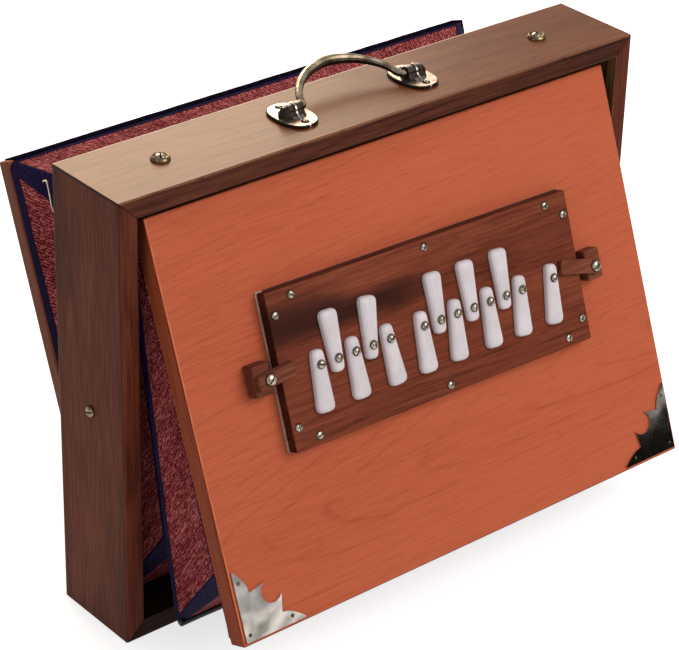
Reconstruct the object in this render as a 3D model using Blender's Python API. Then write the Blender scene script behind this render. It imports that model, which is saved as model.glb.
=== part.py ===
"""Shruti box: a bellows-blown drone box with thirteen pivoting keys.

A thin upright frame is divided by a partition. A pump board hinged at the bottom closes its back,
and a reservoir board hinged at the top closes its front. Both boards stand open on folded bellows.
The reservoir board carries the key panel, the reeds behind it, and two turn buttons that hold it.

Metres, +Z up, front towards -Y, origin at the middle of the frame's underside.
"""

import math

import bmesh
import bpy
from mathutils import Matrix, Vector

GAP = 0.0003                    # clearance left between pieces that touch
RUN = 0.0004                    # radial clearance round a pivot screw or a pivot stub

FRAME_WIDTH = 0.400
FRAME_HEIGHT = 0.298
FRAME_DEPTH = 0.066
FRAME_WALL = 0.0125
FRAME_EDGE_ROUND = 0.0012
PARTITION_THICK = 0.008

HINGE_OFFSET = 0.011            # hinge axis to the face of the partition
HINGE_DROP = 0.0095             # hinge axis to the inner face of the frame
BOARD_END_ROOM = 0.0040         # free edge of a closed board to the inner face of the frame
BOARD_EDGE_ROUND = 0.0008
FRONT_SIDE_ROOM = 0.0075        # side of the front board to the inner face of the frame
FRONT_BOARD_THICK = 0.0135
FRONT_OPEN_ANGLE = math.radians(21.4)
REAR_SIDE_ROOM = 0.0055
REAR_BOARD_THICK = 0.0105
REAR_OPEN_ANGLE = math.radians(20.9)

PANEL_WIDTH = 0.239
PANEL_HEIGHT = 0.097
PANEL_THICK = 0.0076
PANEL_MIDDLE_X = 0.0006
PANEL_DROP = 0.1130             # top edge of the board to the middle of the panel
PANEL_TURN = math.radians(1.0)  # the panel is fixed a little askew, clockwise from the front
PANEL_EDGE_ROUND = 0.0006
GASKET_THICK = 0.0008
GASKET_MARGIN = 0.0004          # how far the gasket shows round the panel
REED_BLOCK_MARGIN = 0.0125      # edge of the panel to the reed block behind it
REED_BLOCK_FIT = 0.0003
REED_PLATE_THICK = 0.001
REED_PLATE_GAP = 0.00155        # between one reed plate and the next
REED_PLATE_LENGTH = 0.060
REED_SLOT_WIDTH = 0.0034
REED_SLOT_LENGTH = 0.038
REED_CELL_WIDTH = 0.008
REED_CELL_LENGTH = 0.0525

KEY_SLOTS = (0, 1, 2, 3, 4, 6, 7, 8, 9, 10, 11, 12, 14)
KEYS_HANGING_DOWN = (0, 2, 4, 5, 7, 9, 11, 12)
# how far each key has been left turned, clockwise from the front, in degrees
KEY_LEANS = (1.8, 0.4, -0.5, 7.5, -3.5, 1.0, 2.6, 5.0, 1.5, 1.3, 2.7, 5.5, 6.4)
KEY_ROW_MARGIN = 0.02605        # side edge of the panel to the pivot of the first key
KEY_ROW_CENTRE = 0.0003         # middle of the panel to the middle of the row
KEY_ROW_DOWN = 0.0015           # middle of the panel down to the row of pivot screws
KEY_LENGTH = 0.0383
KEY_PIVOT_INSET = 0.0088        # narrow end of the key to its pivot
KEY_NARROW = 0.0092
KEY_WIDE = 0.0131
KEY_THICK = 0.0046
KEY_SIDE_HEIGHT = 0.0012        # square part of the key's side under its crown
KEY_END_ROUND = 0.0038          # depth of the round end under the finger
KEY_HOLE_REACH = 0.0238         # pivot to the air hole that the key covers
KEY_HOLE_RADIUS = 0.00275

PIVOT_HEAD_RADIUS = 0.0026
PIVOT_HEAD_HEIGHT = 0.0019
PIVOT_SHANK_RADIUS = 0.0013
PIVOT_DEPTH = 0.0045            # how far a pivot screw goes into the wood
SCREW_SLOT_WIDTH = 0.0010
SCREW_SLOT_DEPTH = 0.0011
SCREW_CROWN = 0.7               # exponent of a screw head's crown: 1 is an ellipse, less is flatter

TURN_BLOCK_WIDTH = 0.0124
TURN_BLOCK_LENGTH = 0.0194
TURN_BUTTON_WIDTH = 0.0093
TURN_BUTTON_THICK = 0.0036
TURN_BUTTON_NOSE = 0.0005       # how far a button's corners are cut back
TURN_HEAD_RADIUS = 0.0036
TURN_HEAD_HEIGHT = 0.0022
TURN_SHANK_RADIUS = 0.0016
# block and pivot: how far out from the panel's edge and down from its middle they stand;
# reach and tail: length of the button either side of its pivot
TURN_BUTTONS = {
    "left": {"way": -1, "block": (0.0129, -0.0028), "pivot": (0.0101, -0.0024), "reach": 0.0186,
             "tail": 0.0082, "tilt": math.radians(4.0), "slot_turn": 1.1},
    "right": {"way": 1, "block": (0.0125, 0.0056), "pivot": (0.0105, 0.0060), "reach": 0.0286,
              "tail": 0.0044, "tilt": math.radians(166.0), "slot_turn": 0.3},
}

CORNER_INSET = 0.0022           # edge of the board to the corner plate
CORNER_THICK = 0.0008
CORNER_LEG = 0.0440
CORNER_LEG_TIP = 0.0010
CORNER_BODY = 0.0285            # corner to the outer end of the plate's broad part
CORNER_NECK = 0.0090            # width of the leg beside the broad part
CORNER_SHOULDER = 0.0180        # width of the broad part at its horns
CORNER_SCOOP_RADIUS = 0.0076

HANDLE_CENTRE_X = -0.0047
HANDLE_Y = -0.0010
HANDLE_HALF_SPREAD = 0.0472     # handle centre to each plate's centre
PLATE_HALF_WIDTH = 0.0121
PLATE_HALF_LENGTH = 0.0176
PLATE_THICK = 0.0018
PLATE_ROUNDNESS = 2.5           # exponent of the plate's outline: 2 is an ellipse
PLATE_HOLE_SPREAD = 0.0125
PLATE_HOLE_RADIUS = 0.0018
LUG_INNER_LENGTH = 0.0063       # middle of the plate to the lug's face beside the bail
LUG_OUTER_LENGTH = 0.0100       # middle of the plate to the end of the lug's round back
LUG_SHOULDER = 0.30             # share of the outer length where the back starts to round down
LUG_AXIS_HEIGHT = 0.0055        # top of the frame to the axis of the handle
LUG_BARREL_RADIUS = 0.0040
LUG_FOOT_HALF = 0.0088
LUG_BEAD = 0.0005
LUG_BORE_DEPTH = 0.0075
BAIL_STUB_RADIUS = 0.0017
BAIL_END_RADIUS = 0.0023
BAIL_GRIP_RADIUS = 0.0033
BAIL_HEIGHT = 0.0268
BAIL_ROUNDNESS = 1.8            # exponent of the bail's arch
BAIL_ELBOWS = (0.0022, 0.0052)  # bend radius at its left and right foot
BAIL_LEAN = math.radians(68.0)

TOP_SCREW_INSET = 0.0525        # end of the frame to the screw in its top
CUP_RADIUS = 0.0060
CUP_RIM_RADIUS = 0.0046         # middle of the cup to the top of its rim
CUP_HEIGHT = 0.0021
CUP_HEAD_RADIUS = 0.0033
CUP_HEAD_HEIGHT = 0.0031
SIDE_HEAD_RADIUS = 0.0036
SIDE_HEAD_HEIGHT = 0.0020
FRAME_SHANK_RADIUS = 0.0018
FRAME_SCREW_LENGTH = 0.026

BELLOWS_WALL = 0.0012
BELLOWS_INSET = 0.0005          # edge of a board to the line where the bellows is glued
BELLOWS_SIDE_ROOM = 0.0075      # side ridge of a bellows to the inner face of the frame
BELLOWS_FRAME_FIT = 0.0006
FRONT_RIDGE_ROOM = 0.0020       # end ridge of the front bellows to the inner face of the frame
FRONT_SIDE_FOLD = 0.0130
FRONT_END_FOLD = 0.0340
REAR_RIDGE_ROOM = 0.0105
REAR_SIDE_FOLD = 0.0120
REAR_END_FOLD = 0.0150
BELLOWS_ROOT_FOLD = 0.0055      # depth of the folds beside the hinge
RIDGE_CORNER_CUT = 0.0030
VALLEY_CORNER_CUT = 0.0110

AIR_HOLE_RADIUS = 0.006
AIR_HOLE_COUNT = 5
AIR_HOLE_PITCH = 0.024
FLAP_WIDTH = 0.132
FLAP_HEIGHT = 0.036
FLAP_THICK = 0.0014
FLAP_CORNER = 0.004
FLAP_ABOVE_HOLES = 0.015        # centre of the air holes to the glued edge of the flap

SPRING_WIRE_RADIUS = 0.0010
SPRING_COIL_RADIUS = 0.0042
SPRING_COIL_TURNS = 2.0
SPRING_COIL_PITCH = 0.0031
SPRING_LEG = 0.105
SPRING_INSET = 0.030            # side ridge of the bellows to the spring inside it
SPRING_HINGE_DISTANCE = 0.052   # hinge to the coil of the spring

INNER_HALF_WIDTH = FRAME_WIDTH / 2 - FRAME_WALL
INNER_TOP = FRAME_HEIGHT - FRAME_WALL
FRONT_HINGE = Vector((0.0, -PARTITION_THICK / 2 - HINGE_OFFSET, INNER_TOP - HINGE_DROP))
REAR_HINGE = Vector((0.0, PARTITION_THICK / 2 + HINGE_OFFSET, FRAME_WALL + HINGE_DROP))
INNER_REACH = INNER_TOP - FRAME_WALL - HINGE_DROP
BOARD_HEIGHT = INNER_REACH - BOARD_END_ROOM
FRONT_BOARD_WIDTH = 2 * (INNER_HALF_WIDTH - FRONT_SIDE_ROOM)
REAR_BOARD_WIDTH = 2 * (INNER_HALF_WIDTH - REAR_SIDE_ROOM)
BELLOWS_RIDGE_HALF = INNER_HALF_WIDTH - BELLOWS_SIDE_ROOM
KEY_PITCH = (PANEL_WIDTH - 2 * KEY_ROW_MARGIN) / (KEY_SLOTS[-1] - KEY_SLOTS[0])
REED_PLATE_WIDTH = KEY_PITCH - REED_PLATE_GAP
REED_BLOCK_WIDTH = PANEL_WIDTH - 2 * REED_BLOCK_MARGIN
REED_BLOCK_HEIGHT = PANEL_HEIGHT - 2 * REED_BLOCK_MARGIN
PANEL_BACK = 2 * GAP + GASKET_THICK
PANEL_FACE = PANEL_BACK + PANEL_THICK
KEY_UNDERSIDE = PANEL_FACE + GAP
BLOCK_FACE = PANEL_FACE + GAP
BUTTON_UNDERSIDE = BLOCK_FACE + GAP


def clear_scene():
    """Remove every object of the open scene."""
    for thing in list(bpy.data.objects):
        bpy.data.objects.remove(thing, do_unlink=True)


def material(name, colour, roughness, metallic=0.0):
    """Return a Principled BSDF material with a plain colour."""
    made = bpy.data.materials.new(name)
    made.use_nodes = True
    shader = made.node_tree.nodes["Principled BSDF"]
    shader.inputs["Base Color"].default_value = (*colour, 1.0)
    shader.inputs["Roughness"].default_value = roughness
    shader.inputs["Metallic"].default_value = metallic
    made.diffuse_color = (*colour, 1.0)
    return made


def add_empty(name, location, turn, parent=None):
    """Add an empty that carries the pieces of a board or of the panel's seat."""
    empty = bpy.data.objects.new(name, None)
    bpy.context.collection.objects.link(empty)
    empty.location = location
    empty.rotation_euler = turn
    empty.parent = parent
    return empty


def add_object(name, bm, finish, parent=None, location=(0.0, 0.0, 0.0), turn=(0.0, 0.0, 0.0),
               smooth=None):
    """Turn a bmesh into a named object; smooth is the angle in degrees above which edges stay sharp."""
    bmesh.ops.recalc_face_normals(bm, faces=bm.faces[:])
    mesh = bpy.data.meshes.new(name)
    bm.to_mesh(mesh)
    bm.free()
    mesh.materials.append(finish)
    if smooth is not None:
        mesh.shade_smooth()
        mesh.set_sharp_from_angle(angle=math.radians(smooth))
    made = bpy.data.objects.new(name, mesh)
    bpy.context.collection.objects.link(made)
    made.location = location
    made.rotation_euler = turn
    made.parent = parent
    return made


def carve(target, cutter, operation="DIFFERENCE"):
    """Cut one bmesh out of an object, or join it on, and bake the result into the object's mesh."""
    bmesh.ops.recalc_face_normals(cutter, faces=cutter.faces[:])
    mesh = bpy.data.meshes.new("cutter")
    cutter.to_mesh(mesh)
    cutter.free()
    tool = bpy.data.objects.new("cutter", mesh)
    bpy.context.collection.objects.link(tool)
    tool.parent = target.parent
    tool.location = target.location
    tool.rotation_euler = target.rotation_euler
    tool.hide_render = True
    tool.display_type = "WIRE"
    modifier = target.modifiers.new("carve", "BOOLEAN")
    modifier.object = tool
    modifier.operation = operation
    modifier.solver = "EXACT"
    bpy.context.view_layer.update()
    graph = bpy.context.evaluated_depsgraph_get()
    baked = bpy.data.meshes.new_from_object(target.evaluated_get(graph))
    target.modifiers.remove(modifier)
    plain = target.data
    target.data = baked
    baked.name = target.name
    bpy.data.meshes.remove(plain)
    bpy.data.objects.remove(tool, do_unlink=True)
    bpy.data.meshes.remove(mesh)


def add_block(bm, low, high):
    """Add a box between two corners and return its vertices."""
    low, high = Vector(low), Vector(high)
    size = high - low
    place = Matrix.Translation((low + high) / 2) @ Matrix.Diagonal((*size, 1.0))
    return bmesh.ops.create_cube(bm, size=1.0, matrix=place)["verts"]


def block(low, high, edge_round=0.0, segments=1):
    """Return a bmesh box with its edges rounded."""
    bm = bmesh.new()
    add_block(bm, low, high)
    if edge_round > 0.0:
        bmesh.ops.bevel(bm, geom=bm.edges[:], offset=edge_round, segments=segments,
                        affect="EDGES", profile=0.5, material=-1)
    return bm


def add_cylinder(bm, centre, radius, depth, axis, segments=16):
    """Add a closed cylinder along a unit axis, centred on a point."""
    turn = Vector((0.0, 0.0, 1.0)).rotation_difference(Vector(axis)).to_matrix().to_4x4()
    bmesh.ops.create_cone(bm, cap_ends=True, segments=segments, radius1=radius, radius2=radius,
                          depth=depth, matrix=Matrix.Translation(centre) @ turn)


def turned(profile, axis, segments=16):
    """Return a bmesh turned about an axis through the origin from (radius, height) points."""
    bm = bmesh.new()
    points = [bm.verts.new((radius, 0.0, height)) for radius, height in profile]
    edges = [bm.edges.new(pair) for pair in zip(points, points[1:])]
    bmesh.ops.spin(bm, geom=points + edges, cent=(0.0, 0.0, 0.0), axis=(0.0, 0.0, 1.0),
                   angle=2 * math.pi, steps=segments, use_merge=True)
    bmesh.ops.remove_doubles(bm, verts=bm.verts[:], dist=1e-6)
    turn = Vector((0.0, 0.0, 1.0)).rotation_difference(Vector(axis)).to_matrix()
    bmesh.ops.rotate(bm, verts=bm.verts[:], cent=(0.0, 0.0, 0.0), matrix=turn)
    return bm


def extruded(outline, direction):
    """Return a bmesh prism from a closed outline of 3D points and an extrusion vector."""
    bm = bmesh.new()
    face = bm.faces.new([bm.verts.new(point) for point in outline])
    grown = bmesh.ops.extrude_face_region(bm, geom=[face])["geom"]
    corners = [v for v in grown if isinstance(v, bmesh.types.BMVert)]
    bmesh.ops.translate(bm, vec=direction, verts=corners)
    return bm


def lofted(rings):
    """Return a closed bmesh through rings of equally many points, with flat ends."""
    bm = bmesh.new()
    loops = [[bm.verts.new(point) for point in ring] for ring in rings]
    for lower, upper in zip(loops, loops[1:]):
        for index, corner in enumerate(lower):
            after = (index + 1) % len(lower)
            bm.faces.new((corner, lower[after], upper[after], upper[index]))
    bm.faces.new(loops[0])
    bm.faces.new(loops[-1])
    return bm


def swept(points, radii, sides):
    """Return a closed round tube through points, with a radius at each of them."""
    tangents = []
    for index in range(len(points)):
        before = points[max(index - 1, 0)]
        after = points[min(index + 1, len(points) - 1)]
        tangents.append((after - before).normalized())
    across = tangents[0].orthogonal().normalized()
    rings = []
    for point, radius, tangent in zip(points, radii, tangents):
        across = (across - tangent * across.dot(tangent)).normalized()
        upward = tangent.cross(across)
        ring = []
        for side in range(sides):
            a = 2 * math.pi * side / sides
            ring.append(point + radius * (math.cos(a) * across + math.sin(a) * upward))
        rings.append(ring)
    return lofted(rings)


def arc(centre, radius, start, end, steps):
    """Return points of a plane arc, angles in degrees."""
    angles = [math.radians(start + (end - start) * step / steps) for step in range(steps + 1)]
    return [(centre[0] + radius * math.cos(a), centre[1] + radius * math.sin(a)) for a in angles]


def on_front_board(x, drop, lift):
    """Place a point on the front board: across, down from its top edge, out from its face."""
    return Vector((x, -FRONT_BOARD_THICK - lift, -drop))


def build_frame(finish):
    """Build the four mitred boards of the frame."""
    half, height, wall = FRAME_WIDTH / 2, FRAME_HEIGHT, FRAME_WALL
    mitre = GAP / math.sqrt(2)
    front = -FRAME_DEPTH / 2
    outlines = {
        "frame_top": [(-half + mitre, height), (half - mitre, height),
                      (half - wall - mitre, height - wall), (-half + wall + mitre, height - wall)],
        "frame_bottom": [(-half + mitre, 0.0), (half - mitre, 0.0),
                         (half - wall - mitre, wall), (-half + wall + mitre, wall)],
        "frame_left": [(-half, mitre), (-half, height - mitre),
                       (-half + wall, height - wall - mitre), (-half + wall, wall + mitre)],
        "frame_right": [(half, mitre), (half, height - mitre),
                        (half - wall, height - wall - mitre), (half - wall, wall + mitre)],
    }
    boards = {}
    for name, outline in outlines.items():
        bm = extruded([(x, front, z) for x, z in outline], (0.0, FRAME_DEPTH, 0.0))
        outer = outline[0], outline[1]
        rims = []
        for edge in bm.edges:
            ends = [(v.co.x, v.co.z) for v in edge.verts]
            along = all(min(math.dist(end, corner) for corner in outer) < 1e-6 for end in ends)
            if along and math.dist(*ends) > FRAME_DEPTH:
                rims.append(edge)
        bmesh.ops.bevel(bm, geom=rims, offset=FRAME_EDGE_ROUND, segments=2, affect="EDGES",
                        profile=0.5, material=-1)
        boards[name] = add_object(name, bm, finish, smooth=40)
    return boards


def build_partition(finish):
    """Build the partition with its row of air holes and the two hinge battens beside it."""
    half = INNER_HALF_WIDTH - GAP
    face = PARTITION_THICK / 2
    partition = add_object("partition_board",
                           block((-half, -face, FRAME_WALL + GAP), (half, face, INNER_TOP - GAP)), finish)
    holes = bmesh.new()
    for x in air_hole_places():
        middle = (x, 0.0, FRAME_HEIGHT / 2)
        add_cylinder(holes, middle, AIR_HOLE_RADIUS, 2 * PARTITION_THICK, (0.0, 1.0, 0.0))
    carve(partition, holes)
    near, far = face + GAP, face + HINGE_OFFSET - GAP
    add_object("front_hinge_batten",
               block((-half, -far, FRONT_HINGE.z), (half, -near, INNER_TOP - GAP)), finish)
    add_object("rear_hinge_batten",
               block((-half, near, FRAME_WALL + GAP), (half, far, REAR_HINGE.z)), finish)
    return partition


def air_hole_places():
    """Return the x positions of a row of air holes."""
    middle = (AIR_HOLE_COUNT - 1) / 2
    return [(index - middle) * AIR_HOLE_PITCH for index in range(AIR_HOLE_COUNT)]


def screw_head(radius, height, shank, length):
    """Return the profile of a round-headed screw, from its crown down to its point."""
    crown = []
    for a in (0, 30, 55, 75):
        swell = math.cos(math.radians(a)) ** SCREW_CROWN
        crown.append((radius * math.sin(math.radians(a)), height * swell))
    return [*crown, (radius, 0.0), (shank, 0.0), (shank, -length * 0.8), (0.0, -length)]


def add_screw(name, profile, top, finish, place, axis, parent=None, slot_turn=0.0, segments=16):
    """Add a slotted screw standing on a surface, its axis pointing out of it."""
    bm = turned(profile, (0.0, 0.0, 1.0), segments)
    screw = add_object(name, bm, finish, parent, place, smooth=35)
    screw.rotation_euler = Vector((0.0, 0.0, 1.0)).rotation_difference(Vector(axis)).to_euler()
    reach = max(radius for radius, height in profile) * 1.2
    half = SCREW_SLOT_WIDTH / 2
    slot = block((-reach, -half, top - SCREW_SLOT_DEPTH), (reach, half, top + reach))
    turn = Matrix.Rotation(slot_turn, 3, "Z")
    bmesh.ops.rotate(slot, verts=slot.verts[:], cent=(0.0, 0.0, 0.0), matrix=turn)
    carve(screw, slot)
    screw.data.shade_smooth()
    screw.data.set_sharp_from_angle(angle=math.radians(35))
    return screw


def build_frame_screws(boards, partition, finish):
    """Build the screws that hold the partition, each in its hole through the frame."""
    seat = CUP_HEIGHT * 0.5
    crown = []
    for a in (0, 35, 65, 85):
        rise = (CUP_HEAD_HEIGHT - seat) * math.cos(math.radians(a)) ** SCREW_CROWN
        crown.append((CUP_HEAD_RADIUS * math.sin(math.radians(a)), seat + rise))
    rim = [(CUP_RIM_RADIUS - 0.0006, CUP_HEIGHT * 0.94), (CUP_RIM_RADIUS, CUP_HEIGHT),
           (CUP_RIM_RADIUS + 0.0008, CUP_HEIGHT * 0.8), (CUP_RADIUS, CUP_HEIGHT * 0.25), (CUP_RADIUS, 0.0)]
    cup = [*crown, (CUP_HEAD_RADIUS, seat), *rim, (FRAME_SHANK_RADIUS, 0.0),
           (FRAME_SHANK_RADIUS, -FRAME_SCREW_LENGTH * 0.8), (0.0, -FRAME_SCREW_LENGTH)]
    plain = screw_head(SIDE_HEAD_RADIUS, SIDE_HEAD_HEIGHT, FRAME_SHANK_RADIUS, FRAME_SCREW_LENGTH)
    half, middle = FRAME_WIDTH / 2, FRAME_HEIGHT / 2
    spread = half - TOP_SCREW_INSET
    places = {
        "top_screw_left": ((-spread, 0.0, FRAME_HEIGHT), (0.0, 0.0, 1.0), "frame_top", cup),
        "top_screw_right": ((spread, 0.0, FRAME_HEIGHT), (0.0, 0.0, 1.0), "frame_top", cup),
        "side_screw_left": ((-half, 0.0, middle), (-1.0, 0.0, 0.0), "frame_left", plain),
        "side_screw_right": ((half, 0.0, middle), (1.0, 0.0, 0.0), "frame_right", plain),
    }
    for turn, (name, (place, axis, board, profile)) in enumerate(places.items()):
        place, axis = Vector(place), Vector(axis)
        for wood in (boards[board], partition):
            hole = bmesh.new()
            depth = FRAME_SCREW_LENGTH + GAP
            middle = place + axis * (0.002 - depth / 2)
            add_cylinder(hole, middle, FRAME_SHANK_RADIUS + RUN, depth + 0.004, axis, 12)
            carve(wood, hole)
        add_screw(name, profile, profile[0][1], finish, place + axis * GAP, axis, slot_turn=0.5 + 0.9 * turn)


def on_panel(x, down, lift):
    """Place a point on the key panel's seat: across, down from its middle, out from the board's face."""
    return Vector((x, -FRONT_BOARD_THICK - lift, -down))


def build_front_board(hinge, seat, finish):
    """Build the reservoir board with the window that the reed block drops into."""
    half, out = FRONT_BOARD_WIDTH / 2, -FRONT_BOARD_THICK
    bm = block((-half, out, -BOARD_HEIGHT), (half, 0.0, 0.0), BOARD_EDGE_ROUND)
    board = add_object("front_board", bm, finish, hinge)
    window = reed_window(2 * FRONT_BOARD_THICK)
    bmesh.ops.transform(window, matrix=seat.matrix_local, verts=window.verts[:])
    carve(board, window)
    for sizes in TURN_BUTTONS.values():
        pivot = beside_panel(sizes["way"], sizes["pivot"])
        carve(board, pivot_hole(pivot, BLOCK_FACE, TURN_SHANK_RADIUS, turn_screw_length()))
    return board


def reed_window(depth):
    """Return a cutter for the reed block's window, in the axes of the key panel's seat."""
    wide = REED_BLOCK_WIDTH / 2 + REED_BLOCK_FIT
    tall = REED_BLOCK_HEIGHT / 2 + REED_BLOCK_FIT
    return block(on_panel(-wide, tall, depth), on_panel(wide, -tall, -depth))


def pivot_hole(pivot, lift, radius, depth):
    """Return a cutter for a screw's hole, in the front board's own axes."""
    hole = bmesh.new()
    middle = on_front_board(*pivot, lift + 0.001 - (depth + GAP) / 2)
    add_cylinder(hole, middle, radius + RUN, depth + GAP + 0.002, (0.0, 1.0, 0.0), 12)
    return hole


def build_panel(seat, wood, felt):
    """Build the key panel, the gasket under it, and the air holes and pilot holes of the keys."""
    half, tall = PANEL_WIDTH / 2, PANEL_HEIGHT / 2
    low, high = on_panel(-half, tall, PANEL_FACE), on_panel(half, -tall, PANEL_BACK)
    panel = add_object("key_panel", block(low, high, PANEL_EDGE_ROUND), wood, seat)
    holes = bmesh.new()
    for x, way, lean in key_places():
        reach = Matrix.Rotation(-way_turn(way), 3, "Y") @ Vector((0.0, 0.0, -KEY_HOLE_REACH))
        middle = on_panel(x, KEY_ROW_DOWN, (PANEL_FACE + PANEL_BACK) / 2)
        add_cylinder(holes, middle + reach, KEY_HOLE_RADIUS, 2 * PANEL_THICK, (0.0, 1.0, 0.0), 16)
        pilot = on_panel(x, KEY_ROW_DOWN, PANEL_FACE - PIVOT_DEPTH / 2)
        depth = PIVOT_DEPTH + 2 * GAP
        add_cylinder(holes, pilot, PIVOT_SHANK_RADIUS + RUN, depth, (0.0, 1.0, 0.0), 10)
    carve(panel, holes)
    half, tall = half + GASKET_MARGIN, tall + GASKET_MARGIN
    low, high = on_panel(-half, tall, GAP + GASKET_THICK), on_panel(half, -tall, GAP)
    gasket = add_object("panel_gasket", block(low, high), felt, seat)
    carve(gasket, reed_window(0.01))


def key_places():
    """Return each key's pivot x, the way it points (1 hangs down, -1 stands up) and its lean."""
    middle = (KEY_SLOTS[0] + KEY_SLOTS[-1]) / 2
    places = []
    for index, (slot, lean) in enumerate(zip(KEY_SLOTS, KEY_LEANS)):
        way = 1 if index in KEYS_HANGING_DOWN else -1
        places.append((KEY_ROW_CENTRE + (slot - middle) * KEY_PITCH, way, math.radians(lean)))
    return places


def way_turn(way):
    """Return the turn that points a key's wide end down or up."""
    return 0.0 if way > 0 else math.pi


def build_reed_block(seat, finish):
    """Build the reed block: one cell for each key, closed by a slotted reed plate."""
    half, tall = REED_BLOCK_WIDTH / 2, REED_BLOCK_HEIGHT / 2
    back = GAP - FRONT_BOARD_THICK + REED_PLATE_THICK
    low, high = on_panel(-half, tall, PANEL_BACK - GAP), on_panel(half, -tall, back)
    reeds = add_object("reed_block", block(low, high), finish, seat)
    plates, cells, slots = bmesh.new(), bmesh.new(), bmesh.new()
    sink = REED_PLATE_THICK / 2
    for x, way, lean in key_places():
        places = (
            (plates, REED_PLATE_WIDTH, REED_PLATE_LENGTH, back - REED_PLATE_THICK, back + sink),
            (cells, REED_CELL_WIDTH, REED_CELL_LENGTH, back + 2 * sink, PANEL_BACK + 0.002),
            (slots, REED_SLOT_WIDTH, REED_SLOT_LENGTH, back - 0.003, back + 0.004),
        )
        for tool, wide, long, near, far in places:
            half, tall = wide / 2, long / 2
            add_block(tool, on_panel(x - half, tall, far), on_panel(x + half, -tall, near))
    carve(reeds, plates, "UNION")
    carve(reeds, cells)
    carve(reeds, slots)


def key_mesh():
    """Return one key, its pivot at the origin, its wide end towards -Z, its back at y = 0."""
    near, far = KEY_PIVOT_INSET, KEY_PIVOT_INSET - KEY_LENGTH
    narrow, wide = KEY_NARROW / 2, KEY_WIDE / 2
    rise = KEY_THICK - KEY_SIDE_HEIGHT
    stations = []
    for a in (10, 35, 62, 90):
        c, s = math.cos(math.radians(a)), math.sin(math.radians(a))
        stations.append((near - narrow * 0.8 * (1 - c), narrow * s ** 0.6, s ** 0.5))
    for a in (90, 60, 35, 12):
        c, s = math.cos(math.radians(a)), math.sin(math.radians(a))
        stations.append((far + KEY_END_ROUND * (1 - c), wide * s ** 0.5, s ** 0.5))
    rings = []
    for z, half, swell in stations:
        ring = [(half, 0.0, z), (half, -KEY_SIDE_HEIGHT * swell, z)]
        for a in (22, 43, 65, 90, 115, 137, 158):
            c, s = math.cos(math.radians(a)), math.sin(math.radians(a))
            crown = (KEY_SIDE_HEIGHT + rise * s ** 0.85) * swell
            ring.append((half * math.copysign(abs(c) ** 0.85, c), -crown, z))
        ring += [(-half, -KEY_SIDE_HEIGHT * swell, z), (-half, 0.0, z)]
        rings.append([Vector(point) for point in ring])
    return lofted(rings)


def build_keys(seat, ivory, steel):
    """Build the keys and the slotted screws that they pivot on."""
    profile = screw_head(PIVOT_HEAD_RADIUS, PIVOT_HEAD_HEIGHT, PIVOT_SHANK_RADIUS,
                         KEY_THICK + GAP + PIVOT_DEPTH)
    for index, (x, way, lean) in enumerate(key_places()):
        place = on_panel(x, KEY_ROW_DOWN, KEY_UNDERSIDE)
        turn = (0.0, way_turn(way) + lean, 0.0)
        key = add_object(f"key_{index + 1:02d}", key_mesh(), ivory, seat, place, turn, smooth=50)
        bore = bmesh.new()
        add_cylinder(bore, (0.0, 0.0, 0.0), PIVOT_SHANK_RADIUS + RUN, 4 * KEY_THICK, (0.0, 1.0, 0.0), 10)
        carve(key, bore)
        head = on_panel(x, KEY_ROW_DOWN, KEY_UNDERSIDE + KEY_THICK + GAP)
        add_screw(f"key_screw_{index + 1:02d}", profile, PIVOT_HEAD_HEIGHT, steel, head, (0.0, -1.0, 0.0),
                  seat, slot_turn=0.7 + 1.3 * index, segments=12)


def turn_screw_length():
    """Return how far a turn screw reaches below its head: through the button and into the board."""
    return BUTTON_UNDERSIDE + TURN_BUTTON_THICK + GAP + PIVOT_DEPTH


def beside_panel(way, place):
    """Return x and drop on the board of a place out from the panel's edge and down from its middle."""
    out, down = place
    return PANEL_MIDDLE_X + way * (PANEL_WIDTH / 2 + out), PANEL_DROP + down


def build_turn_buttons(hinge, wood, steel):
    """Build the turn buttons that hold the key panel, their blocks and their screws."""
    length = turn_screw_length()
    profile = screw_head(TURN_HEAD_RADIUS, TURN_HEAD_HEIGHT, TURN_SHANK_RADIUS, length)
    for side, sizes in TURN_BUTTONS.items():
        x, drop = beside_panel(sizes["way"], sizes["block"])
        pivot = beside_panel(sizes["way"], sizes["pivot"])
        half, tall = TURN_BLOCK_WIDTH / 2, TURN_BLOCK_LENGTH / 2
        low = on_front_board(x - half, drop + tall, BLOCK_FACE)
        high = on_front_board(x + half, drop - tall, GAP)
        base = add_object(f"turn_block_{side}", block(low, high, 0.0006), wood, hinge)
        carve(base, pivot_hole(pivot, BLOCK_FACE, TURN_SHANK_RADIUS, length))
        bm = extruded(button_outline(sizes["reach"], sizes["tail"]), (0.0, -TURN_BUTTON_THICK, 0.0))
        face = [e for e in bm.edges if all(v.co.y < -TURN_BUTTON_THICK / 2 for v in e.verts)]
        bmesh.ops.bevel(bm, geom=face, offset=TURN_BUTTON_NOSE, segments=1, affect="EDGES",
                        profile=0.5, material=-1)
        place = on_front_board(*pivot, BUTTON_UNDERSIDE)
        turn = (0.0, -sizes["tilt"], 0.0)
        button = add_object(f"turn_button_{side}", bm, wood, hinge, place, turn)
        bore = bmesh.new()
        add_cylinder(bore, (0.0, 0.0, 0.0), TURN_SHANK_RADIUS + RUN, 4 * TURN_BUTTON_THICK,
                     (0.0, 1.0, 0.0), 12)
        carve(button, bore)
        head = on_front_board(*pivot, BUTTON_UNDERSIDE + TURN_BUTTON_THICK + GAP)
        add_screw(f"turn_screw_{side}", profile, TURN_HEAD_HEIGHT, steel, head, (0.0, -1.0, 0.0), hinge,
                  sizes["slot_turn"])


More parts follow.
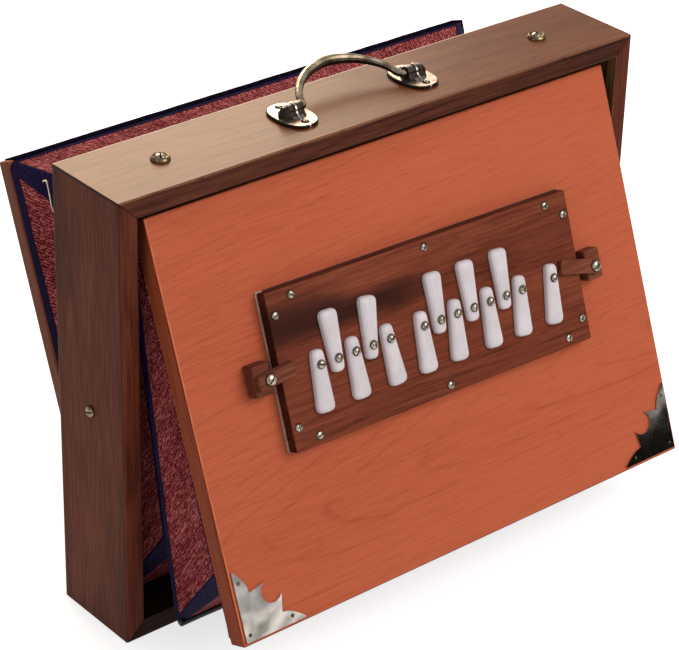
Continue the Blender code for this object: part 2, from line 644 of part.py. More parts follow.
def button_outline(reach, tail):
    """Return a turn button's outline about its pivot, its four corners cut off."""
    half, nose = TURN_BUTTON_WIDTH / 2, TURN_BUTTON_NOSE
    corners = [(-tail, -half + nose), (-tail + nose, -half), (reach - nose, -half), (reach, -half + nose),
               (reach, half - nose), (reach - nose, half), (-tail + nose, half), (-tail, half - nose)]
    return [(u, 0.0, v) for u, v in corners]


def corner_outline():
    """Return a corner plate's outline from its corner: leaf-shaped legs and a scalloped inner edge."""
    leg = leaf_edge(CORNER_LEG, CORNER_LEG_TIP, CORNER_BODY, CORNER_NECK, 5)
    horn = (CORNER_BODY, CORNER_SHOULDER)
    other = [(v, u) for u, v in reversed(leg)]
    return [(0.0, 0.0), (CORNER_LEG, 0.0), *leg, *scooped_edge(horn, CORNER_SCOOP_RADIUS, 10),
            *other, (0.0, CORNER_LEG)]


def leaf_edge(tip, tip_width, root, root_width, steps):
    """Return points of a leg's bulging inner edge from its tip to its root."""
    points = []
    for step in range(steps + 1):
        share = step / steps
        width = tip_width + (root_width - tip_width) * math.sin(share * math.pi / 2)
        points.append((tip + (root - tip) * share, width))
    return points


def scooped_edge(horn, radius, steps):
    """Return points of the round scoop between a horn and its mirror image, bulging to the corner."""
    middle = (horn[0] + horn[1]) / 2
    half = (horn[0] - horn[1]) / math.sqrt(2)
    back = math.sqrt(radius ** 2 - half ** 2) / math.sqrt(2)
    spread = 180 - math.degrees(math.asin(half / radius))
    return arc((middle + back, middle + back), radius, 225 + spread, 225 - spread, steps)


def build_corner_plates(pivot, finish):
    """Build the two plates on the bottom corners of the front board."""
    for side, way in (("left", -1), ("right", 1)):
        edge = FRONT_BOARD_WIDTH / 2 - CORNER_INSET
        foot = BOARD_HEIGHT - CORNER_INSET
        outline = [on_front_board(way * (edge - u), foot - v, GAP) for u, v in corner_outline()]
        add_object(f"corner_plate_{side}", extruded(outline, (0.0, -CORNER_THICK, 0.0)), finish, pivot)


def plate_outline(half_width, half_length, roundness, steps):
    """Return points of a superellipse in the XY plane."""
    points = []
    for step in range(steps):
        a = 2 * math.pi * step / steps
        c, s = math.cos(a), math.sin(a)
        points.append((half_width * math.copysign(abs(c) ** (2 / roundness), c),
                       half_length * math.copysign(abs(s) ** (2 / roundness), s)))
    return points


def lug_mesh(axis_height, way):
    """Return a handle plate's lug: a beaded barrel along X that flares down into a round foot.

    The barrel is cut square beside the bail and rounds down to the plate behind; way is the side of
    the handle that the lug stands on.
    """
    inner, outer = LUG_INNER_LENGTH, LUG_OUTER_LENGTH
    base = PLATE_THICK / 2
    rings = []
    for share in (-1.0, -0.62, -0.22, -0.12, 0.0, 0.12, 0.22, 0.45, 0.68, 0.86, 0.97):
        place = share * (inner if share < 0 else outer)
        swell = LUG_BEAD if abs(share) < 0.15 else 0.0
        foot = LUG_FOOT_HALF * math.sqrt(1 - (place / outer) ** 2) + swell
        past = max(share - LUG_SHOULDER, 0.0) / (1 - LUG_SHOULDER)
        rise = math.sqrt(1 - past ** 2)
        radius = LUG_BARREL_RADIUS + swell
        side = arc((0.0, axis_height), radius, 90, 0, 4)
        for step in (0.25, 0.6, 1.0):
            out = radius + (foot - radius) * step ** 1.6
            side.append((out, axis_height + (PLATE_THICK - axis_height) * step))
        narrow = min(1.0, foot / LUG_FOOT_HALF * 1.15)
        right = [(y * narrow, base + (z - base) * rise) for y, z in side] + [(side[-1][0] * narrow, base / 2)]
        left = [(-y, z) for y, z in reversed(right)][:-1]
        rings.append([Vector((way * place, y, z)) for y, z in right + left])
    return lofted(rings)


def build_handle(finish):
    """Build the two lugged plates and the bail that swings between them."""
    for side, way in (("left", -1), ("right", 1)):
        outline = plate_outline(PLATE_HALF_WIDTH, PLATE_HALF_LENGTH, PLATE_ROUNDNESS, 32)
        bm = extruded([(x, y, 0.0) for x, y in outline], (0.0, 0.0, PLATE_THICK))
        rim = [e for e in bm.edges if all(v.co.z > PLATE_THICK / 2 for v in e.verts)]
        bmesh.ops.bevel(bm, geom=rim, offset=0.0006, segments=1, affect="EDGES", profile=0.5, material=-1)
        centre = (HANDLE_CENTRE_X + way * HANDLE_HALF_SPREAD, HANDLE_Y, FRAME_HEIGHT + GAP)
        plate = add_object(f"handle_plate_{side}", bm, finish, None, centre)
        carve(plate, lug_mesh(LUG_AXIS_HEIGHT - GAP, way), "UNION")
        cuts = bmesh.new()
        depth = LUG_BORE_DEPTH
        middle = (-way * (LUG_INNER_LENGTH - depth / 2 + 0.001), 0.0, LUG_AXIS_HEIGHT - GAP)
        add_cylinder(cuts, middle, BAIL_STUB_RADIUS + RUN, depth + 0.002, (1.0, 0.0, 0.0), 14)
        for end in (-1, 1):
            middle = (0.0, end * PLATE_HOLE_SPREAD, 0.0)
            add_cylinder(cuts, middle, PLATE_HOLE_RADIUS, 0.02, (0.0, 0.0, 1.0), 12)
        carve(plate, cuts)
        plate.data.shade_smooth()
        plate.data.set_sharp_from_angle(angle=math.radians(38))
    axis = Vector((HANDLE_CENTRE_X, HANDLE_Y, FRAME_HEIGHT + LUG_AXIS_HEIGHT))
    points, radii = bail_path()
    bail = swept(points, radii, 12)
    add_object("handle_bail", bail, finish, None, axis, (-BAIL_LEAN, 0.0, 0.0), smooth=50)


def bail_path():
    """Return the bail's centre line and radii, upright over its axis, left stub to right stub."""
    inner = HANDLE_HALF_SPREAD - LUG_INNER_LENGTH
    shoulder = inner - GAP
    feet = [shoulder - BAIL_END_RADIUS * 0.1 - elbow for elbow in BAIL_ELBOWS]
    middle = (feet[1] - feet[0]) / 2
    path = []
    for way, elbow, foot in zip((-1, 1), BAIL_ELBOWS, feet):
        stub = inner + LUG_BORE_DEPTH - 2 * GAP
        half = [((stub, 0.0), BAIL_STUB_RADIUS), ((shoulder + 1e-5, 0.0), BAIL_STUB_RADIUS),
                ((shoulder, 0.0), BAIL_END_RADIUS)]
        for x, z in arc((foot + elbow, elbow), elbow, 270, 180, 4):
            half.append(((x, z), BAIL_END_RADIUS))
        span = foot - way * middle
        reach = span / (1 - (elbow / BAIL_HEIGHT) ** BAIL_ROUNDNESS) ** (1 / BAIL_ROUNDNESS)
        for turn in range(16, 90, 7):
            a = math.radians(turn)
            z = BAIL_HEIGHT * math.sin(a) ** (2 / BAIL_ROUNDNESS)
            x = reach * math.cos(a) ** (2 / BAIL_ROUNDNESS) + way * middle
            if z > elbow * 1.2:
                swell = math.sin(a) ** 3
                half.append(((x, z), BAIL_END_RADIUS + (BAIL_GRIP_RADIUS - BAIL_END_RADIUS) * swell))
        side = [((way * x, z), radius) for (x, z), radius in half]
        path += side + [((middle, BAIL_HEIGHT), BAIL_GRIP_RADIUS)] if way < 0 else side[::-1]
    return [Vector((x, 0.0, z)) for (x, z), radius in path], [radius for point, radius in path]


def build_rear_board(pivot, wood):
    """Build the pump board with its row of intake holes."""
    half = REAR_BOARD_WIDTH / 2
    bm = block((-half, 0.0, 0.0), (half, REAR_BOARD_THICK, BOARD_HEIGHT), BOARD_EDGE_ROUND)
    board = add_object("rear_board", bm, wood, pivot)
    holes = bmesh.new()
    for x in air_hole_places():
        middle = (x, REAR_BOARD_THICK / 2, BOARD_HEIGHT / 2)
        add_cylinder(holes, middle, AIR_HOLE_RADIUS, 2 * REAR_BOARD_THICK, (0.0, 1.0, 0.0))
    carve(board, holes)


def add_flap(name, finish, place, parent=None):
    """Add a leather valve flap that hangs from its glued top edge, in front of a row of air holes."""
    bm = block((-FLAP_WIDTH / 2, -FLAP_THICK, -FLAP_HEIGHT), (FLAP_WIDTH / 2, 0.0, 0.0))
    corners = [e for e in bm.edges if all(v.co.z < -FLAP_HEIGHT / 2 for v in e.verts)
               and abs(e.verts[0].co.y - e.verts[1].co.y) > FLAP_THICK / 2]
    bmesh.ops.bevel(bm, geom=corners, offset=FLAP_CORNER, segments=4, affect="EDGES",
                    profile=0.5, material=-1)
    add_object(name, bm, finish, parent, place)


def bellows_rings(wedge, ridge, side_fold, end_fold, board_half, board_reach, board_angle):
    """Return the bellows' cross sections from the partition to the board, hinge line at the origin.

    Each is a strip round three sides: out from the hinge along one side, across the open end and
    back along the other. y runs from the partition towards the board, z away from the hinge.
    """
    root = GAP * 2
    board = (wedge + board_reach * math.sin(board_angle), board_reach * math.cos(board_angle))
    ridge_y = board[0] / 2
    ridge_z = math.sqrt(max(ridge ** 2 - (ridge_y - wedge / 2) ** 2, 0.0))
    frame_half = INNER_HALF_WIDTH - BELLOWS_FRAME_FIT
    frame_reach = INNER_REACH - BELLOWS_FRAME_FIT
    clear = GAP * 2
    stations = [
        (0.0, frame_half, frame_half, frame_reach, clear, RIDGE_CORNER_CUT),
        (0.25, BELLOWS_RIDGE_HALF - BELLOWS_ROOT_FOLD, BELLOWS_RIDGE_HALF - side_fold, ridge_z - end_fold,
         ridge_y * 0.5, VALLEY_CORNER_CUT),
        (0.5, BELLOWS_RIDGE_HALF, BELLOWS_RIDGE_HALF, ridge_z, ridge_y, RIDGE_CORNER_CUT),
        (0.75, BELLOWS_RIDGE_HALF - BELLOWS_ROOT_FOLD, BELLOWS_RIDGE_HALF - side_fold, ridge_z - end_fold,
         ridge_y * 1.5, VALLEY_CORNER_CUT),
        (1.0, board_half, board_half, board[1], board[0], RIDGE_CORNER_CUT),
    ]
    rings = []
    for share, root_half, end_half, reach, y, cut in stations:
        root_y = clear + (wedge - 2 * clear) * share
        wall = BELLOWS_WALL
        thin = wall * (math.sqrt(2) - 1)
        outer = [(root_half, root), (end_half, reach - cut), (end_half - cut, reach)]
        inner = [(root_half - wall, root), (end_half - wall, reach - cut - thin),
                 (end_half - cut - thin, reach - wall)]
        strip = [(-x, z) for x, z in outer] + outer[::-1] + inner + [(-x, z) for x, z in inner[::-1]]
        slope = (y - root_y) / (reach - root)
        rings.append([(x, root_y + slope * (z - root), z) for x, z in strip])
    return rings


def build_bellows(cloth):
    """Build the two folded bellows as open strips round the wedge between board and partition."""
    clear = GAP * 2
    plans = {
        "front_bellows": (FRONT_HINGE, -1, INNER_REACH - FRONT_RIDGE_ROOM, FRONT_SIDE_FOLD, FRONT_END_FOLD,
                          FRONT_BOARD_WIDTH / 2 - BELLOWS_INSET, FRONT_OPEN_ANGLE),
        "rear_bellows": (REAR_HINGE, 1, INNER_REACH - REAR_RIDGE_ROOM, REAR_SIDE_FOLD, REAR_END_FOLD,
                         REAR_BOARD_WIDTH / 2 - BELLOWS_INSET, REAR_OPEN_ANGLE),
    }
    for name, (hinge, way, ridge, side_fold, end_fold, board_half, angle) in plans.items():
        reach = BOARD_HEIGHT - BELLOWS_INSET
        rings = bellows_rings(HINGE_OFFSET - clear / math.cos(angle), ridge, side_fold, end_fold,
                              board_half, reach, angle)
        face = way * PARTITION_THICK / 2
        placed = [[Vector((x, face + way * y, hinge.z + way * z)) for x, y, z in ring] for ring in rings]
        bm = lofted(placed)
        bmesh.ops.triangulate(bm, faces=bm.faces[:])
        add_object(name, bm, cloth)


def build_springs(steel):
    """Build the wire spring inside each bellows: two legs on a coil beside the hinge."""
    for name, hinge, way, angle in (("front_spring", FRONT_HINGE, -1, FRONT_OPEN_ANGLE),
                                    ("rear_spring", REAR_HINGE, 1, REAR_OPEN_ANGLE)):
        middle = BELLOWS_RIDGE_HALF - SPRING_INSET
        points = []
        for x, y, z in spring_path(angle):
            points.append(Vector((middle + x, hinge.y + way * y, hinge.z + way * z)))
        gap = least_gap_to_itself(points, 2 * SPRING_WIRE_RADIUS, math.pi * SPRING_COIL_RADIUS)
        print(f"{name}: least gap to itself {gap * 1000:.2f} mm")
        radii = [SPRING_WIRE_RADIUS] * len(points)
        add_object(name, swept(points, radii, 8), steel, smooth=60)


def spring_path(angle):
    """Return a spring's centre line: leg on the partition, coil, leg on the board."""
    clear = SPRING_WIRE_RADIUS + GAP
    steps = 28
    centre_z = SPRING_HINGE_DISTANCE
    centre_y = centre_z * math.tan(angle / 2) / 2
    reach = centre_z + SPRING_LEG
    near = (clear - HINGE_OFFSET, reach)
    far = (reach * math.sin(angle) - clear * math.cos(angle),
           reach * math.cos(angle) + clear * math.sin(angle))
    start = tangent_angle((centre_y, centre_z), near, SPRING_COIL_RADIUS, 1)
    end = tangent_angle((centre_y, centre_z), far, SPRING_COIL_RADIUS, -1)
    sweep = 2 * math.pi * SPRING_COIL_TURNS + end - start
    width = SPRING_COIL_PITCH * sweep / (2 * math.pi)
    coil = []
    for step in range(steps + 1):
        a = start + sweep * step / steps
        coil.append((width * (step / steps - 0.5), centre_y + SPRING_COIL_RADIUS * math.cos(a),
                     centre_z + SPRING_COIL_RADIUS * math.sin(a)))
    return [(-width / 2, *near), *coil, (width / 2, *far)]


def tangent_angle(centre, point, radius, side):
    """Return the angle on a circle where a straight line from an outside point touches it."""
    y, z = point[0] - centre[0], point[1] - centre[1]
    return math.atan2(z, y) + side * math.acos(radius / math.hypot(y, z))


def least_gap_to_itself(points, thickness, apart):
    """Return the least clear gap between stretches of a wire more than a given length apart on it."""
    samples, walked = [points[0]], [0.0]
    for start, end in zip(points, points[1:]):
        length = (end - start).length
        steps = math.ceil(length / (thickness / 3))
        for step in range(1, steps + 1):
            samples.append(start.lerp(end, step / steps))
            walked.append(walked[-1] + length / steps)
    least = math.inf
    for index, sample in enumerate(samples):
        for other in range(index + 1, len(samples)):
            if walked[other] - walked[index] > apart:
                least = min(least, (samples[other] - sample).length)
    return least - thickness


def main():
    clear_scene()
    walnut = material("walnut", (0.098, 0.040, 0.022), 0.5)
    cherry = material("cherry_wood", (0.50, 0.107, 0.051), 0.42)
    brown_wood = material("brown_wood", (0.156, 0.038, 0.022), 0.4)
    plain_wood = material("plain_wood", (0.30, 0.17, 0.09), 0.6)
    felt = material("felt", (0.75, 0.62, 0.55), 0.9)
    ivory = material("ivory_plastic", (0.68, 0.62, 0.64), 0.35)
    steel = material("steel", (0.55, 0.53, 0.50), 0.3, 1.0)
    chrome = material("chrome_plate", (0.60, 0.60, 0.62), 0.15, 1.0)
    brass = material("antique_brass", (0.33, 0.27, 0.17), 0.35, 1.0)
    rexine = material("maroon_cloth", (0.26, 0.045, 0.053), 0.6)
    leather = material("leather", (0.30, 0.20, 0.12), 0.8)

    front = add_empty("front_hinge", FRONT_HINGE, (-FRONT_OPEN_ANGLE, 0.0, 0.0))
    seat = add_empty("panel_seat", (PANEL_MIDDLE_X, 0.0, -PANEL_DROP), (0.0, PANEL_TURN, 0.0), front)
    rear = add_empty("rear_hinge", REAR_HINGE, (-REAR_OPEN_ANGLE, 0.0, 0.0))
    bpy.context.view_layer.update()
    boards = build_frame(walnut)
    partition = build_partition(plain_wood)
    build_frame_screws(boards, partition, steel)
    build_handle(brass)
    build_front_board(front, seat, cherry)
    build_panel(seat, brown_wood, felt)
    build_reed_block(seat, plain_wood)
    build_keys(seat, ivory, steel)
    build_turn_buttons(front, brown_wood, steel)
    build_corner_plates(front, chrome)
    build_rear_board(rear, cherry)
    face = PARTITION_THICK / 2 + GAP
    add_flap("partition_valve_flap", leather, (0.0, -face, FRAME_HEIGHT / 2 + FLAP_ABOVE_HOLES))
    add_flap("intake_valve_flap", leather, (0.0, -GAP, BOARD_HEIGHT / 2 + FLAP_ABOVE_HOLES), rear)
    build_bellows(rexine)
    build_springs(steel)


main()
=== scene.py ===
"""Looks of the shruti box: finishes, folded bellows, slotted screws, a floor, soft light and a camera."""

import logging
import math
from collections.abc import Callable, Sequence
from dataclasses import dataclass, field
from enum import Enum

import bmesh
import bpy
from mathutils import Matrix, Vector, noise
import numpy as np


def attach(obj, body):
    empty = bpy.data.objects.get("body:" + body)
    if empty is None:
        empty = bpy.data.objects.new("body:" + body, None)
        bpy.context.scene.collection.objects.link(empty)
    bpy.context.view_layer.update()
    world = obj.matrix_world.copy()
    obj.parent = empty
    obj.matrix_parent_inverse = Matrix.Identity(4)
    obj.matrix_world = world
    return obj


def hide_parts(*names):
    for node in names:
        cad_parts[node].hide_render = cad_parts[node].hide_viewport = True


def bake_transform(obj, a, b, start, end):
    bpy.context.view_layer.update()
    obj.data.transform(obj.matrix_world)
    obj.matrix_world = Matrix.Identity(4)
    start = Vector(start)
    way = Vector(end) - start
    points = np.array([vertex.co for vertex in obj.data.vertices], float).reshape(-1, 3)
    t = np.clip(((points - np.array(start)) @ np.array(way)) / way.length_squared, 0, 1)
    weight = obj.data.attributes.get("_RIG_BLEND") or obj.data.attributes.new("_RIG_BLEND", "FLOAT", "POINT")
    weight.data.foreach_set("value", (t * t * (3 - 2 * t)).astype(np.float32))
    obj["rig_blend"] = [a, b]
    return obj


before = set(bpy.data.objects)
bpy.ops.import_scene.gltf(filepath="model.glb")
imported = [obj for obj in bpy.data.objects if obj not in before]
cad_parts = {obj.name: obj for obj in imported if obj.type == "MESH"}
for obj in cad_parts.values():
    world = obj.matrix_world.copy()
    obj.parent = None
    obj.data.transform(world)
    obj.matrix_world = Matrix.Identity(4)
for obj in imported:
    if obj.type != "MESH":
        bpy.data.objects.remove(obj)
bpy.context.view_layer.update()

LOG = logging.getLogger("shruti_box")
TURN = "turn"
BLEND_WEIGHTS = "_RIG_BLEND"
Triple = tuple[float, float, float]
Socket = bpy.types.NodeSocket
Level = Socket | float


def linear(red: float, green: float, blue: float) -> Triple:
    """Turn an sRGB colour of 0 to 255 into a linear one.

    Args:
        red: red level.
        green: green level.
        blue: blue level.

    Returns:
        The linear colour.
    """
    levels = [value / 255 for value in (red, green, blue)]
    return tuple(v / 12.92 if v <= 0.04045 else ((v + 0.055) / 1.055) ** 2.4 for v in levels)


class Grain(Enum):
    """Axis that a board's grain runs along."""

    X = 0
    Z = 2


class Side(Enum):
    """Side of the box, and its sign along X."""

    LEFT = -1
    RIGHT = 1


class Seat(Enum):
    """Axes that pieces are placed in: the frame's, each board's from its hinge, and the key panel's."""

    FRAME = Matrix.Identity(4)
    FRONT = Matrix.Translation((0.0, -0.015, 0.276)) @ Matrix.Rotation(math.radians(-21.4), 4, "X")
    REAR = Matrix.Translation((0.0, 0.015, 0.022)) @ Matrix.Rotation(math.radians(-20.9), 4, "X")
    PANEL = (Matrix.Translation((0.0, -0.015, 0.276)) @ Matrix.Rotation(math.radians(-21.4), 4, "X")
             @ Matrix.Translation((0.0006, 0.0, -0.1130)) @ Matrix.Rotation(math.radians(1.0), 4, "Y"))


BOARD_FACE = -0.0135
BOARD_HEIGHT = 0.2595


class Sheet:
    """A material's node tree, with short ways to add and join nodes."""

    def __init__(self, name: str, seat: Seat = Seat.FRAME) -> None:
        """Start a material with a Principled shader, in a seat's axes.

        Args:
            name: the material's name.
            seat: the axes that its patterns are laid out in.
        """
        self.material = bpy.data.materials.new(name)
        self.material.use_nodes = True
        self.tree = self.material.node_tree
        self.shader = self.tree.nodes["Principled BSDF"]
        mapping = self.add("ShaderNodeMapping", vector_type="TEXTURE")
        mapping.inputs["Location"].default_value = seat.value.to_translation()
        mapping.inputs["Rotation"].default_value = seat.value.to_euler()
        self.join(self.add("ShaderNodeTexCoord").outputs["Object"], mapping.inputs["Vector"])
        self.place = mapping.outputs["Vector"]

    def add(self, kind: str, **values: object) -> bpy.types.Node:
        """Add a node.

        Args:
            kind: the node's type.
            values: properties to set on it.

        Returns:
            The node.
        """
        node = self.tree.nodes.new(kind)
        for key, value in values.items():
            setattr(node, key, value)
        return node

    def join(self, source: Level | Triple, target: Socket) -> None:
        """Link a socket to another, or set a plain value on it."""
        if isinstance(source, Socket):
            self.tree.links.new(source, target)
        else:
            target.default_value = source

    def maths(self, operation: str, *values: Level) -> Socket:
        """Return the result of a Math node on one to three values."""
        node = self.add("ShaderNodeMath", operation=operation)
        for value, target in zip(values, node.inputs):
            self.join(value, target)
        return node.outputs[0]

    def stretched(self, scale: Triple, shift: Triple = (0.0, 0.0, 0.0), turn: Triple = (0.0, 0.0, 0.0),
                  where: Socket | None = None) -> Socket:
        """Scale, turn and shift coordinates.

        Args:
            scale: scale along each axis.
            shift: shift after the scale.
            turn: turn about each axis, after the scale.
            where: the coordinates, or None for the seat's own.

        Returns:
            The new coordinates.
        """
        mapping = self.add("ShaderNodeMapping")
        mapping.inputs["Scale"].default_value = scale
        mapping.inputs["Location"].default_value = shift
        mapping.inputs["Rotation"].default_value = turn
        self.join(where or self.place, mapping.inputs["Vector"])
        return mapping.outputs["Vector"]

    def noise(self, where: Socket, detail: float = 2.0, roughness: float = 0.5, scale: float = 1.0) -> Socket:
        """Return a noise pattern's level at some coordinates."""
        node = self.add("ShaderNodeTexNoise")
        node.inputs["Scale"].default_value = scale
        node.inputs["Detail"].default_value = detail
        node.inputs["Roughness"].default_value = roughness
        self.join(where, node.inputs["Vector"])
        return node.outputs["Fac"]

    def split(self, where: Socket) -> bpy.types.NodeOutputs:
        """Return the X, Y and Z of some coordinates."""
        node = self.add("ShaderNodeSeparateXYZ")
        self.join(where, node.inputs[0])
        return node.outputs

    def between(self, level: Level, low: float, high: float) -> Socket:
        """Return how far a level is from low to high, from 0 to 1, with soft ends."""
        node = self.add("ShaderNodeMapRange", interpolation_type="SMOOTHSTEP")
        for value, target in zip((level, low, high), node.inputs):
            self.join(value, target)
        return node.outputs[0]

    def ramp(self, level: Socket, stops: Sequence[tuple[float, Triple]]) -> Socket:
        """Return a colour ramp over a level."""
        node = self.add("ShaderNodeValToRGB")
        elements = node.color_ramp.elements
        while len(elements) < len(stops):
            elements.new(0.5)
        for element, (position, colour) in zip(elements, stops):
            element.position = position
            element.color = (*colour, 1.0)
        self.join(level, node.inputs["Fac"])
        return node.outputs["Color"]

    def blended(self, share: Level, first: Socket | Triple, second: Socket | Triple) -> Socket:
        """Return the first colour turning into the second as the share goes from 0 to 1."""
        node = self.add("ShaderNodeMix", data_type="RGBA", clamp_factor=True)
        self.join(share, node.inputs[0])
        for colour, target in ((first, node.inputs[6]), (second, node.inputs[7])):
            self.join(colour if isinstance(colour, Socket) else (*colour, 1.0), target)
        return node.outputs[2]

    def finish(self, colour: Socket | Triple, height: Socket | None = None, rise: float = 0.0,
               rough: Level = 0.5, soften: float = 0.0, **constants: Level) -> bpy.types.Material:
        """Join the patterns to the shader.

        Args:
            colour: base colour.
            height: pattern that raises the surface, or None.
            rise: height in metres of that pattern.
            rough: roughness.
            soften: reach in metres over which the surface's facets are smoothed.
            constants: the shader's other values, by name with underscores for spaces.

        Returns:
            The material.
        """
        self.join(colour if isinstance(colour, Socket) else (*colour, 1.0), self.shader.inputs["Base Color"])
        self.join(rough, self.shader.inputs["Roughness"])
        if height is not None:
            node = self.add("ShaderNodeBump")
            node.inputs["Strength"].default_value = 1.0
            node.inputs["Distance"].default_value = rise
            self.join(height, node.inputs["Height"])
            if soften:
                smooth = self.add("ShaderNodeBevel", samples=6)
                smooth.inputs["Radius"].default_value = soften
                self.join(smooth.outputs["Normal"], node.inputs["Normal"])
            self.join(node.outputs["Normal"], self.shader.inputs["Normal"])
        for key, value in constants.items():
            self.join(value, self.shader.inputs[key.replace("_", " ")])
        return self.material


@dataclass(frozen=True)
class Timber:
    """Figure of one kind of wood: growth rings about a pith line, fibres and pores."""

    dark: Triple
    middle: Triple
    light: Triple
    grain: Grain = Grain.X
    pith: tuple[float, float] = (0.030, -0.190)
    ring: float = 0.0042
    wander: float = 0.010
    ring_depth: float = 0.25
    ring_edge: float = 3.0
    fibre_depth: float = 0.35
    cloud_depth: float = 0.25
    pore_depth: float = 0.25
    pore_share: float = 0.36
    lean: Triple = (0.0, 0.0, 0.0)
    wave: float = 0.9
    broken: float = 1.0
    seed: float = 0.0

    def scaled(self, along: float, across: float) -> Triple:
        """Return a scale along and across the grain for each axis."""
        scale = [across, across, across]
        scale[self.grain.value] = along
        return tuple(scale)

    def paint(self, sheet: Sheet) -> tuple[Socket, Socket]:
        """Lay out the wood's patterns.

        Args:
            sheet: the material to add them to.

        Returns:
            The colour and the level that also raises the surface.
        """
        shift = (self.seed, self.seed * 0.7, self.seed * 1.3)
        drift = sheet.noise(sheet.stretched(self.scaled(3.2, 11.0), shift), 2.0)
        wobble = sheet.noise(sheet.stretched(self.scaled(22.0, 90.0), shift), 2.0)
        sides = [axis for axis in (0, 1, 2) if axis != self.grain.value]
        parts = sheet.split(sheet.stretched((1.0, 1.0, 1.0), turn=self.lean))
        offsets = [sheet.maths("SUBTRACT", parts[axis], centre) for axis, centre in zip(sides, self.pith)]
        squares = [sheet.maths("MULTIPLY", part, part) for part in offsets]
        radius = sheet.maths("SQRT", sheet.maths("ADD", *squares))
        radius = sheet.maths("MULTIPLY_ADD", drift, self.wander * 4, radius)
        radius = sheet.maths("MULTIPLY_ADD", wobble, self.ring * self.wave, radius)
        wave = sheet.maths("SINE", sheet.maths("MULTIPLY", radius, 2 * math.pi / self.ring))
        rings = sheet.maths("POWER", sheet.maths("MULTIPLY_ADD", wave, 0.5, 0.5), self.ring_edge)
        patch = sheet.between(sheet.noise(sheet.stretched(self.scaled(16.0, 70.0), shift), 2.0), 0.36, 0.60)
        patch = sheet.maths("MULTIPLY_ADD", patch, self.broken, 1.0 - self.broken)
        fibre = sheet.between(sheet.noise(sheet.stretched(self.scaled(30.0, 700.0), shift), 3.0), 0.30, 0.70)
        cloud = sheet.between(sheet.noise(sheet.stretched(self.scaled(3.5, 18.0), shift), 3.0), 0.30, 0.70)
        pore = sheet.noise(sheet.stretched(self.scaled(85.0, 1500.0), shift), 2.0)
        pores = sheet.between(pore, self.pore_share, self.pore_share - 0.07)
        level = sheet.maths("MULTIPLY_ADD", fibre, self.fibre_depth, 0.5 - self.fibre_depth / 2)
        level = sheet.maths("MULTIPLY_ADD", cloud, self.cloud_depth, level)
        level = sheet.maths("ADD", level, -self.cloud_depth / 2)
        level = sheet.maths("MULTIPLY_ADD", sheet.maths("MULTIPLY", rings, patch), -self.ring_depth, level)
        level = sheet.maths("MULTIPLY_ADD", pores, -self.pore_depth, level)
        stops = ((0.12, self.dark), (0.5, self.middle), (0.85, self.light))
        return sheet.ramp(level, stops), level


@dataclass(frozen=True)
class Skin:
    """Another wood on the faces of a board past a level along one of its axes."""

    timber: Timber
    axis: int
    level: float
    way: int

    def lay(self, sheet: Sheet, colour: Socket, height: Socket) -> tuple[Socket, Socket]:
        """Cover a wood's colour and height where the skin lies."""
        part = sheet.split(sheet.place)[self.axis]
        share = sheet.between(part, self.level - self.way * 0.00005, self.level + self.way * 0.00005)
        over, raised = self.timber.paint(sheet)
        low = sheet.maths("MULTIPLY", height, sheet.maths("SUBTRACT", 1.0, share))
        return sheet.blended(share, colour, over), sheet.maths("MULTIPLY_ADD", raised, share, low)


@dataclass(frozen=True)
class Streak:
    """A long dark cloud in a face's figure."""

    start: tuple[float, float]
    end: tuple[float, float]
    half: float
    colour: Triple
    depth: float = 0.85

    def lay(self, sheet: Sheet, colour: Socket) -> Socket:
        """Darken a colour along the streak, which narrows and fades out at its end."""
        length = math.dist(self.start, self.end)
        turn = -math.atan2(self.end[1] - self.start[1], self.end[0] - self.start[0])
        wobble = sheet.noise(sheet.stretched((14.0, 1.0, 60.0)), 4.0)
        parts = sheet.split(sheet.place)
        x = sheet.maths("SUBTRACT", parts[0], self.start[0])
        z = sheet.maths("SUBTRACT", parts[2], self.start[1])
        along = sheet.maths("ADD", sheet.maths("MULTIPLY", x, math.cos(turn)),
                            sheet.maths("MULTIPLY", z, -math.sin(turn)))
        across = sheet.maths("ADD", sheet.maths("MULTIPLY", x, math.sin(turn)),
                             sheet.maths("MULTIPLY", z, math.cos(turn)))
        across = sheet.maths("MULTIPLY_ADD", wobble, self.half * 1.6, across)
        across = sheet.maths("ABSOLUTE", sheet.maths("ADD", across, -self.half * 0.8))
        width = sheet.maths("MULTIPLY_ADD", along, -self.half * 0.7 / length, self.half)
        edge = sheet.between(sheet.maths("DIVIDE", across, width), 1.5, 0.2)
        fade = sheet.between(along, length, length * 0.55)
        share = sheet.maths("MULTIPLY", sheet.maths("MULTIPLY", edge, fade), self.depth)
        return sheet.blended(share, colour, self.colour)


@dataclass(frozen=True)
class Arris:
    """A long edge where two faces meet, given another colour along it; some edges show wear, some a darker line,
    some a painted highlight and some painted shade.

    Each face is given by the axis, the level and the way past which the colour lies.
    """

    first: tuple[int, float, int]
    second: tuple[int, float, int]
    colour: Triple
    depth: float = 0.7
    soft: float = 0.0002
    patchy: bool = True

    def lay(self, sheet: Sheet, colour: Socket) -> Socket:
        """Paint a colour along the edge, in patches."""
        parts = sheet.split(sheet.place)
        share: Level = 1.0
        if self.patchy:
            share = sheet.between(sheet.noise(sheet.stretched((60.0, 60.0, 60.0)), 3.0), 0.30, 0.50)
        for axis, level, way in (self.first, self.second):
            reach = sheet.between(parts[axis], level - way * self.soft, level + way * self.soft)
            share = sheet.maths("MULTIPLY", share, reach)
        return sheet.blended(sheet.maths("MULTIPLY", share, self.depth), colour, self.colour)


